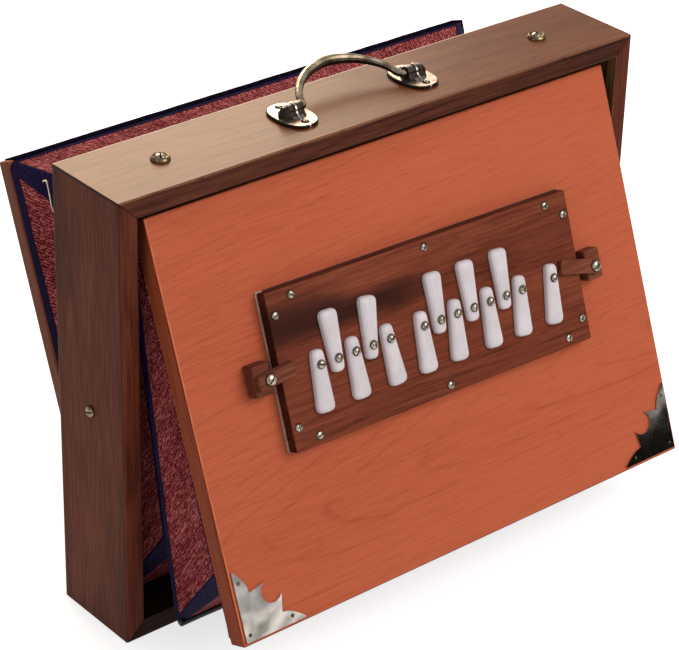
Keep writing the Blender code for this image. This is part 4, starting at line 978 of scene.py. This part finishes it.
@dataclass
class RearBoard:
    """The pump's board with its flap and the leather folded over its top edge."""

    thick: float = 0.0105
    start: float = -0.1772
    end: float = 0.1822
    leather: float = 0.0007
    turn_down: float = 0.0032
    flap: float = 0.0085
    steps: int = 90

    def edging(self) -> bmesh.types.BMesh:
        """Build the leather over the top edge and down the right end.

        Returns:
            The leather, in the board's own axes.
        """
        top, thick, wall = BOARD_HEIGHT, self.thick, self.leather
        path = ((-wall, top - 0.0010), (-wall * 0.8, top + wall * 0.6), (0.0002, top + wall), (0.0025, top + wall),
                (0.0055, top + wall * 1.15), (0.0085, top + wall), (thick, top + wall * 0.9),
                (thick + wall * 0.8, top + wall * 0.2), (thick + wall, top - 0.0012),
                (thick + wall, top - self.turn_down))
        bm = bmesh.new()
        bmesh.ops.create_grid(bm, x_segments=self.steps, y_segments=len(path) - 1, size=0.5)
        for vert in bm.verts:
            y, z = path[round((vert.co.y + 0.5) * (len(path) - 1))]
            x = self.start + (self.end - self.start) * (vert.co.x + 0.5)
            wave = noise.noise(Vector((x * 60.0, y * 200.0, 4.0))) * 0.00025
            vert.co = Vector((x, y, z + wave if y > 0.001 else z))
        bmesh.ops.recalc_face_normals(bm, faces=bm.faces[:])
        bmesh.ops.solidify(bm, geom=bm.faces[:], thickness=wall * 0.8)
        end = bmesh.new()
        bmesh.ops.create_cube(end, size=1.0)
        bmesh.ops.scale(end, verts=end.verts[:], vec=(wall, thick + 2 * wall, self.flap))
        bmesh.ops.translate(end, verts=end.verts[:],
                            vec=(self.end + wall / 2, thick / 2, top + wall - self.flap / 2))
        bmesh.ops.bevel(end, geom=end.edges[:], offset=0.0003, segments=2, affect="EDGES", profile=0.5, material=-1)
        part = bpy.data.meshes.new("end")
        end.to_mesh(part)
        end.free()
        bm.from_mesh(part)
        bpy.data.meshes.remove(part)
        bmesh.ops.recalc_face_normals(bm, faces=bm.faces[:])
        return bm

    def build(self, palette: Palette) -> None:
        """Dress the board and its flap and add the leather."""
        palette.dress("rear_board", REAR_BOARD)
        palette.dress("intake_valve_flap", FLAP)
        bm = self.edging()
        bmesh.ops.transform(bm, matrix=Seat.REAR.value, verts=bm.verts[:])
        settle("rear_edging", bm, palette, (EDGING,), "rear")
        LOG.info("rear board dressed, leather edging")


@dataclass(frozen=True)
class WedgeSpace:
    """The space between the partition and a hinged board, which a shut board narrows to a pocket.

    Depth is told outwards from the hinge's axis and reach along the partition from it.
    """

    body: str
    way: int
    hinge_z: float
    degrees: float
    partition: float = 0.004
    pocket: float = 0.011

    def flat(self, spot: Vector) -> tuple[float, float]:
        """Return a point's depth and reach."""
        return self.way * spot.y - self.partition - self.pocket, self.way * (spot.z - self.hinge_z)

    def spot(self, x: float, depth: float, reach: float) -> Vector:
        """Return the point at a depth and reach."""
        return Vector((x, self.way * (self.partition + self.pocket + depth), self.hinge_z + self.way * reach))

    def share(self, spot: Vector, shut_depth: float) -> float:
        """Return the share of the board's turn that takes a point to a depth in the shut pocket."""
        depth, reach = self.flat(spot)
        shut = math.asin(min(max(shut_depth / math.hypot(depth, reach), -1.0), 1.0))
        return min(max((math.atan2(depth, reach) - shut) / math.radians(self.degrees), 0.0), 1.0)

    def fold_share(self, spot: Vector) -> float:
        """Return the share of the board's turn that keeps a point's order between partition and board."""
        depth, reach = self.flat(spot)
        opened = (depth + self.pocket) / (max(reach, 0.0) * math.tan(math.radians(self.degrees)) + self.pocket)
        return self.share(spot, self.pocket * (min(max(opened, 0.0), 1.0) - 1.0))

    def hang(self, piece: bpy.types.Object) -> None:
        """Let a piece fold with the board.

        Every point turns by the share in the mesh's attribute TURN, since the space is a fan about the
        hinge, where a share that grows along one straight line would leave cloth outside the shut box.

        Args:
            piece: the piece, without a parent.
        """
        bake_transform(piece, "frame", self.body, start=self.spot(0.0, -self.pocket, 0.13),
                 end=self.spot(0.0, 0.13 * math.tan(math.radians(self.degrees)), 0.13))
        data = piece.data.attributes
        shares = [0.0] * len(piece.data.vertices)
        data[TURN].data.foreach_get("value", shares)
        data[BLEND_WEIGHTS].data.foreach_set("value", shares)
        data.remove(data[TURN])


@dataclass(frozen=True)
class Section:
    """A bellows' cross section: a strip from the hinge out, across the open end and back."""

    root_half: float
    end_half: float
    reach: float
    y: float
    cut: float


@dataclass
class Bellows:
    """A folded cloth bellows with leather on its folds and corners, in place of its plain solid.

    A point on it is named by u, 0 to 5 round the three sides with the corners at 1 to 2 and 3 to 4, and
    v, 0 at the frame to 4 at the board.
    """

    node: str
    space: WedgeSpace
    wedge: float
    sections: tuple[Section, ...]
    bar: int
    hemmed: bool
    root: float = 0.0006
    clear: float = 0.0006
    side_steps: int = 60
    corner_steps: int = 6
    end_steps: int = 90
    rib_steps: int = 8
    leather: float = 0.0042
    hem_side: float = 0.0068
    hem_end: float = 0.0022
    lift: float = 0.00035

    def corner(self, section: int, u: float) -> tuple[float, float]:
        """Return x and z of a point on a section's strip."""
        s = self.sections[section]
        half = ((s.root_half, self.root), (s.end_half, s.reach - s.cut), (s.end_half - s.cut, s.reach))
        points = [*((-x, z) for x, z in half), *reversed(half)]
        start = min(int(u), 4)
        share = u - start
        (x0, z0), (x1, z1) = points[start], points[start + 1]
        return x0 + (x1 - x0) * share, z0 + (z1 - z0) * share

    def on_section(self, section: int, u: float) -> Vector:
        """Return a point on a section's strip, in the frame's axes."""
        s = self.sections[section]
        x, z = self.corner(section, u)
        root_y = self.clear + (self.wedge - 2 * self.clear) * section / 4
        y = root_y + (s.y - root_y) / (s.reach - self.root) * (z - self.root)
        return self.space.spot(x, y - self.space.pocket, z)

    def point(self, u: float, v: float) -> Vector:
        """Return a point of the cloth."""
        low = min(int(v), 3)
        return self.on_section(low, u).lerp(self.on_section(low + 1, u), v - low)

    def normal(self, u: float, v: float) -> Vector:
        """Return the cloth's outward direction, halfway between both sides on a fold."""
        total = Vector()
        for du in (-0.001, 0.001):
            for dv in (-0.001, 0.001):
                a, b = min(max(u + du, 0.0005), 4.9995), min(max(v + dv, 0.0005), 3.9995)
                along = self.point(a + 0.0004, b) - self.point(a - 0.0004, b)
                across = self.point(a, b + 0.0004) - self.point(a, b - 0.0004)
                total += along.cross(across).normalized()
        return total.normalized()

    def around(self, start: float = 0.0, end: float = 5.0) -> list[float]:
        """Return the steps of u from start to end."""
        counts = (self.side_steps, self.corner_steps, self.end_steps, self.corner_steps, self.side_steps)
        steps = [span + i / count for span, count in enumerate(counts) for i in range(count)]
        return [start, *(u for u in steps if start + 1e-4 < u < end - 1e-4), end]

    def length(self, spots: Sequence[tuple[float, float]]) -> float:
        """Return the length of a line over the cloth."""
        points = [self.point(u, v) for u, v in spots]
        return sum((after - before).length for before, after in zip(points, points[1:]))

    def patch(self, bm: bmesh.types.BMesh, us: Sequence[float], count: int,
              place: Callable[[float, float], tuple[float, float, float]], finish: int, wall: float) -> float:
        """Add a piece of sheet to the bellows, with thickness.

        Args:
            bm: the mesh to add to.
            us: its steps round the bellows.
            count: steps across it.
            place: u and the share across it, to u, v and lift off the cloth.
            finish: its material's number.
            wall: its thickness.

        Returns:
            Its area on one side.
        """
        part = bmesh.new()
        flat = part.loops.layers.uv.new("sheet")
        turn = part.verts.layers.float.new(TURN)
        bmesh.ops.create_grid(part, x_segments=len(us) - 1, y_segments=count, size=0.5)
        spots: dict[bmesh.types.BMVert, tuple[float, float]] = {}
        for vert in part.verts:
            u = us[round((vert.co.x + 0.5) * (len(us) - 1))]
            u, v, lift = place(u, vert.co.y + 0.5)
            spots[vert] = (u, v)
            vert[turn] = self.space.fold_share(self.point(u, v))
            vert.co = self.point(u, v) + self.normal(u, v) * lift
        for face in part.faces:
            face.material_index = finish
            for loop in face.loops:
                u, v = spots[loop.vert]
                loop[flat].uv = self.spread(u, v)
        part.normal_update()
        first = next(iter(part.faces))
        if first.normal.dot(self.normal(*spots[first.verts[0]])) < 0:
            bmesh.ops.reverse_faces(part, faces=part.faces[:])
        area = sum(face.calc_area() for face in part.faces)
        where = {vert.co.to_tuple(6): self.normal(*spot) for vert, spot in spots.items()}
        made = bmesh.ops.extrude_face_region(part, geom=part.faces[:], use_keep_orig=True)["geom"]
        for vert in (thing for thing in made if isinstance(thing, bmesh.types.BMVert)):
            vert.co -= where[vert.co.to_tuple(6)] * wall
        bmesh.ops.recalc_face_normals(part, faces=part.faces[:])
        mesh = bpy.data.meshes.new("patch")
        part.to_mesh(mesh)
        part.free()
        bm.from_mesh(mesh)
        bpy.data.meshes.remove(mesh)
        return area

    def spread(self, u: float, v: float) -> tuple[float, float]:
        """Return a point's place on the cloth laid flat, in metres."""
        x, z = self.corner(2, u)
        along = z if u < 1.5 else (0.45 - z if u > 3.5 else 0.25 + (x + 0.18) * 1.0)
        return along, v * 0.028

    def share(self, u: float, fold: int, width: float, way: int) -> float:
        """Return how far in v a width reaches from a fold, at most under half a rib."""
        rib = (self.on_section(fold, u) - self.on_section(fold + way, u)).length
        return min(0.46, width / rib)

    def strip(self, bm: bmesh.types.BMesh, fold: int) -> None:
        """Add the leather over a fold, tapered into the cloth at its edges."""
        def place(u: float, t: float) -> tuple[float, float, float]:
            sideways = min(max(abs(u - 2.5) - 0.5, 0.0), 1.0)
            width = self.leather if fold < 4 else self.hem_end + (self.hem_side - self.hem_end) * sideways
            low = self.share(u, fold, width, -1) if fold > 0 else 0.0
            high = self.share(u, fold, self.leather, 1) if fold < 4 else 0.0
            edge = min(t, 1 - t) if 0 < fold < 4 else (1 - t if fold == 0 else t)
            return u, fold - low + (low + high) * t, self.lift * min(1.0, edge * 5) - 0.00005
        self.patch(bm, self.around(), 8, place, 1, 0.0005)

    def gusset(self, bm: bmesh.types.BMesh, rib: int, corner: int) -> None:
        """Add the leather over one rib's corner facet."""
        s = self.sections[2]
        side, end = 0.0022 / (s.reach - s.cut), 0.0022 / (2 * s.end_half)
        before, after = (side, end) if corner == 1 else (end, side)
        us = self.around(corner - before, corner + 1 + after)

        def place(u: float, t: float) -> tuple[float, float, float]:
            edge = min((u - us[0]) / before, (us[-1] - u) / after, 1.0)
            return u, rib + 0.02 + 0.96 * t, (self.lift + 0.0001) * edge - 0.00005
        self.patch(bm, us, 10, place, 1, 0.0005)

    def rolled_edge(self, bm: bmesh.types.BMesh) -> None:
        """Add the stiff rolled bar along a fold's open end."""
        start, end = self.on_section(self.bar, 2.0), self.on_section(self.bar, 3.0)
        length = (end - start).length + 0.004
        part = bmesh.new()
        turn = part.verts.layers.float.new(TURN)
        bmesh.ops.create_cone(part, cap_ends=True, segments=20, radius1=0.0028, radius2=0.0028, depth=length)
        caps = [edge for edge in part.edges if abs(edge.verts[0].co.z - edge.verts[1].co.z) < 1e-6]
        bmesh.ops.bevel(part, geom=caps, offset=0.0013, segments=4, affect="EDGES", profile=0.5, material=-1)
        long = [edge for edge in part.edges if abs(edge.verts[0].co.z - edge.verts[1].co.z) > length / 2]
        bmesh.ops.subdivide_edges(part, edges=long, cuts=80)
        bmesh.ops.rotate(part, verts=part.verts[:], cent=(0, 0, 0), matrix=Matrix.Rotation(math.pi / 2, 3, "Y"))
        for vert in part.verts:
            wave = noise.noise(Vector((vert.co.x * 40.0, 0.3, 0.7)))
            vert.co += Vector((0.0, wave * 0.0003 + self.space.way * 0.0012,
                               wave * 0.0003 - self.space.way * 0.0016))
            vert.co += (start + end) / 2
            vert[turn] = self.space.fold_share((start + end) / 2)
        for face in part.faces:
            face.material_index = 2
        mesh = bpy.data.meshes.new("bar")
        part.to_mesh(mesh)
        part.free()
        bm.from_mesh(mesh)
        bpy.data.meshes.remove(mesh)

    def build(self, palette: Palette) -> bpy.types.Object:
        """Build the cloth, its leather and its bar.

        Returns:
            The bellows.
        """
        bm = bmesh.new()
        bm.loops.layers.uv.new("sheet")
        bm.verts.layers.float.new(TURN)

        def cloth(u: float, t: float) -> tuple[float, float, float]:
            v = 4 * t
            x, z = self.spread(u, v)
            pucker = noise.noise(Vector((x * 90.0, z * 160.0, self.space.hinge_z)))
            return u, v, 0.00025 * pucker * math.sin(math.pi * (v % 1.0))
        area = self.patch(bm, self.around(), 4 * self.rib_steps, cloth, 0, 0.0009)
        for rib in range(4):
            for corner in (1, 3):
                self.gusset(bm, rib, corner)
        for fold in range(5 if self.hemmed else 4):
            self.strip(bm, fold)
        self.rolled_edge(bm)
        piece = settle(f"{self.node}_cloth", bm, palette, (MAROON, NAVY, PIPING),
                       stands_for=(self.node,), sharp=50.0)
        self.space.hang(piece)
        flat = (self.length([(u, 0.0) for u in self.around()]),
                self.length([(1.0, fold) for fold in range(5)]))
        LOG.info("%s: flat %.3f by %.3f m, area %.4f", piece.name, *flat, area)
        return piece


@dataclass
class WedgeSpring:
    """A wire spring inside a bellows: two straight legs and a coil that keeps its shape."""

    node: str
    space: WedgeSpace
    x: float = 0.1500
    radius: float = 0.0010
    coil_radius: float = 0.0042
    turns: float = 2.0
    pitch: float = 0.0031
    leg: float = 0.105
    coil_reach: float = 0.052
    clear: float = 0.0013
    coil_steps: int = 28
    leg_steps: int = 10
    sides: int = 10

    def bearing(self, centre: Vector, point: Vector, side: int) -> float:
        """Return the angle on the coil at which a leg from a point touches it."""
        away = point - centre
        return math.atan2(away.z, away.y) + side * math.acos(self.coil_radius / away.length)

    def lines(self) -> tuple[list[Vector], list[Vector], list[Vector]]:
        """Return the near leg, the coil and the far leg as points of x, depth and reach."""
        angle = math.radians(self.space.degrees)
        centre = Vector((0.0, self.coil_reach * math.tan(angle / 2) / 2, self.coil_reach))
        tip = self.coil_reach + self.leg
        near = Vector((0.0, self.clear - self.space.pocket, tip))
        far = Vector((0.0, tip * math.sin(angle) - self.clear * math.cos(angle),
                      tip * math.cos(angle) + self.clear * math.sin(angle)))
        start, end = self.bearing(centre, near, 1), self.bearing(centre, far, -1)
        sweep = 2 * math.pi * self.turns + end - start
        width = self.pitch * sweep / (2 * math.pi)
        coil = []
        for step in range(self.coil_steps + 1):
            turned = start + sweep * step / self.coil_steps
            round_it = Vector((0.0, math.cos(turned), math.sin(turned))) * self.coil_radius
            coil.append(centre + round_it + Vector((width * (step / self.coil_steps - 0.5), 0.0, 0.0)))
        near.x, far.x = -width / 2, width / 2
        legs = [[tip_point.lerp(coil_end, step / self.leg_steps) for step in range(self.leg_steps)]
                for tip_point, coil_end in ((near, coil[0]), (far, coil[-1]))]
        return legs[0], coil, legs[1][::-1]

    def build(self, palette: Palette) -> None:
        """Bend the wire and let it close with the board."""
        space = self.space
        near, coil, far = ([space.spot(self.x + place.x, place.y, place.z) for place in line]
                           for line in self.lines())
        angle = math.radians(space.degrees)
        middle = space.spot(self.x, self.coil_reach * math.tan(angle / 2) / 2, self.coil_reach)
        shares = [*(space.share(spot, self.clear - space.pocket) for spot in near),
                  *(space.share(middle, -space.pocket / 2) for _ in coil),
                  *(space.share(spot, -self.clear) for spot in far)]
        bm = tube([*near, *coil, *far], self.radius, self.sides)
        turn = bm.verts.layers.float.new(TURN)
        for index, vert in enumerate(bm.verts):
            vert[turn] = shares[index // self.sides]
        space.hang(settle(f"{self.node}_wire", bm, palette, (SPRING,), stands_for=(self.node,)))
        LOG.info("%s bent", self.node)


@dataclass
class RearCatch:
    """The wire hook that stands behind the frame's rear left edge, with its foot in the wood."""

    x: float = -0.1945
    radius: float = 0.0005
    path: tuple[tuple[float, float], ...] = (
        (0.0320, 0.2618), (0.0352, 0.2618), (0.0380, 0.2620), (0.0400, 0.2626), (0.0414, 0.2638),
        (0.0423, 0.2656), (0.0430, 0.2680), (0.0438, 0.2712), (0.0446, 0.2742), (0.0454, 0.2768),
        (0.0461, 0.2786), (0.0471, 0.2795), (0.0486, 0.2792), (0.0504, 0.2780))

    def build(self, palette: Palette) -> None:
        """Bend the wire."""
        line = [Vector((self.x, y, z)) for y, z in self.path]
        settle("rear_catch", tube(line, self.radius), palette, (WIRE,), "frame")
        LOG.info("rear catch bent")


@dataclass
class Studio:
    """Floor, lights and camera."""

    eye: Triple = (-0.9443, -1.0979, 0.9528)
    azimuth: float = -40.40
    elevation: float = 29.34
    roll: float = 1.53
    lens: float = 139.3
    sensor: float = 36.0
    lamps: tuple[tuple[str, Triple, float, float, Triple], ...] = (
        ("top_light", (0.70, 1.83, 1.29), 40.0, 1.5, (1.0, 0.80, 0.56)),
        ("front_light", (0.9, -2.0, 1.9), 42.0, 1.8, (1.0, 0.97, 0.94)),
        ("side_light", (-2.2, -0.6, 1.2), 4.0, 1.6, (1.0, 0.97, 0.94)))
    world_level: float = 0.42
    card_place: Triple = (0.325, -0.310, 0.0)
    card_half: float = 0.13
    card_spans: tuple[tuple[float, float], ...] = ((0.002, 0.070), (0.083, 0.36))

    def camera(self) -> None:
        """Set the camera at the photograph's viewing angle."""
        data = bpy.data.cameras.new("camera")
        data.lens, data.sensor_width = self.lens, self.sensor
        data.clip_start, data.clip_end = 0.05, 50.0
        seen = bpy.data.objects.new("camera", data)
        bpy.context.collection.objects.link(seen)
        a, e, r = (math.radians(v) for v in (self.azimuth, self.elevation, self.roll))
        back = Vector((math.sin(a) * math.cos(e), -math.cos(a) * math.cos(e), math.sin(e)))
        right = Vector((0.0, 0.0, 1.0)).cross(back).normalized()
        up = back.cross(right)
        turned = math.cos(r) * right + math.sin(r) * up
        upward = math.cos(r) * up - math.sin(r) * right
        turn = Matrix((turned, upward, back)).transposed().to_4x4()
        seen.matrix_world = Matrix.Translation(Vector(self.eye)) @ turn
        bpy.context.scene.camera = seen

    def floor(self) -> None:
        """Lay a plain pale floor that shows white and keeps the object's shadow."""
        bm = bmesh.new()
        bmesh.ops.create_grid(bm, x_segments=1, y_segments=1, size=6.0)
        mesh = bpy.data.meshes.new("floor")
        bm.to_mesh(mesh)
        bm.free()
        sheet = Sheet("floor")
        sheet.shader.inputs["Emission Color"].default_value = (1.0, 1.0, 1.0, 1.0)
        rays = sheet.add("ShaderNodeLightPath").outputs
        seen = sheet.maths("MAXIMUM", rays["Is Camera Ray"], rays["Is Glossy Ray"])
        seen = sheet.maths("MAXIMUM", seen, rays["Is Transmission Ray"])
        sheet.join(sheet.maths("MULTIPLY", seen, 0.70), sheet.shader.inputs["Emission Strength"])
        mesh.materials.append(sheet.finish((0.62, 0.62, 0.62), rough=0.9))
        ground = bpy.data.objects.new("floor", mesh)
        bpy.context.collection.objects.link(ground)

    def lights(self) -> None:
        """Hang the soft lamps and set a plain world that the camera sees white."""
        for name, place, power, size, colour in self.lamps:
            data = bpy.data.lights.new(name, "AREA")
            data.energy, data.size, data.color = power, size, colour
            lamp = bpy.data.objects.new(name, data)
            bpy.context.collection.objects.link(lamp)
            lamp.location = place
            lamp.rotation_euler = (Vector((0.0, 0.0, 0.15)) - Vector(place)).to_track_quat("-Z", "Y").to_euler()
        world = bpy.data.worlds.new("studio")
        world.use_nodes = True
        background = world.node_tree.nodes["Background"]
        background.inputs["Color"].default_value = (1.0, 1.0, 1.0, 1.0)
        tree = world.node_tree
        rays, level = tree.nodes.new("ShaderNodeLightPath"), tree.nodes.new("ShaderNodeMath")
        level.operation = "MULTIPLY_ADD"
        level.inputs[1].default_value, level.inputs[2].default_value = 1.0 - self.world_level, self.world_level
        tree.links.new(rays.outputs["Is Camera Ray"], level.inputs[0])
        tree.links.new(level.outputs[0], background.inputs["Strength"])
        bpy.context.scene.world = world

    def dark_card(self) -> None:
        """Stand a black card with a gap in it that only shows as a reflection in the right corner plate."""
        facing = Matrix.Rotation(math.radians(39.8), 4, "Z") @ Matrix.Rotation(math.radians(90), 4, "X")
        bm = bmesh.new()
        for low, high in self.card_spans:
            made = bmesh.ops.create_grid(bm, x_segments=1, y_segments=1, size=1.0)["verts"]
            bmesh.ops.scale(bm, verts=made, vec=(self.card_half, (high - low) / 2, 1.0))
            bmesh.ops.transform(bm, matrix=facing, verts=made)
            bmesh.ops.translate(bm, verts=made, vec=Vector(self.card_place) + Vector((0.0, 0.0, (low + high) / 2)))
        mesh = bpy.data.meshes.new("dark_card")
        bm.to_mesh(mesh)
        bm.free()
        mesh.materials.append(Sheet("dark_card").finish((0.01, 0.01, 0.01), rough=0.9, Specular_IOR_Level=0.0))
        card = bpy.data.objects.new("dark_card", mesh)
        bpy.context.collection.objects.link(card)
        card.visible_camera = card.visible_diffuse = card.visible_shadow = False

    def build(self) -> None:
        """Set up the whole studio."""
        self.camera()
        self.floor()
        self.dark_card()
        self.lights()
        bpy.context.scene.view_settings.view_transform = "Standard"
        LOG.info("studio ready")


FRONT_SPACE = WedgeSpace("front", -1, 0.276, 21.4)
REAR_SPACE = WedgeSpace("rear", 1, 0.022, 20.9)
FRONT_BELLOWS = Bellows("front_bellows", FRONT_SPACE, 0.010356, (
    Section(0.1869, 0.1869, 0.2629, 0.0006, 0.003), Section(0.1745, 0.1670, 0.2232, 0.0262, 0.011),
    Section(0.1800, 0.1800, 0.2572, 0.0524, 0.003), Section(0.1745, 0.1670, 0.2232, 0.0786, 0.011),
    Section(0.1795, 0.1795, 0.2411, 0.1049, 0.003)), 2, hemmed=False)
REAR_BELLOWS = Bellows("rear_bellows", REAR_SPACE, 0.010358, (
    Section(0.1869, 0.1869, 0.2629, 0.0006, 0.003), Section(0.1745, 0.1680, 0.2337, 0.0257, 0.011),
    Section(0.1800, 0.1800, 0.2487, 0.0514, 0.003), Section(0.1745, 0.1680, 0.2337, 0.0771, 0.011),
    Section(0.1815, 0.1815, 0.2420, 0.1028, 0.003)), 2, hemmed=True)


def main() -> None:
    """Build every part of the box and the studio."""
    logging.basicConfig(level=logging.INFO)
    palette = Palette()
    Studio().build()
    FrameBox().build(palette)
    CarryingHandle().build(palette)
    FrontBoard().build(palette)
    KeyPanel().build(palette)
    RearBoard().build(palette)
    FRONT_BELLOWS.build(palette)
    REAR_BELLOWS.build(palette)
    WedgeSpring("front_spring", FRONT_SPACE).build(palette)
    WedgeSpring("rear_spring", REAR_SPACE).build(palette)
    RearCatch().build(palette)


if __name__ == "__main__":
    main()
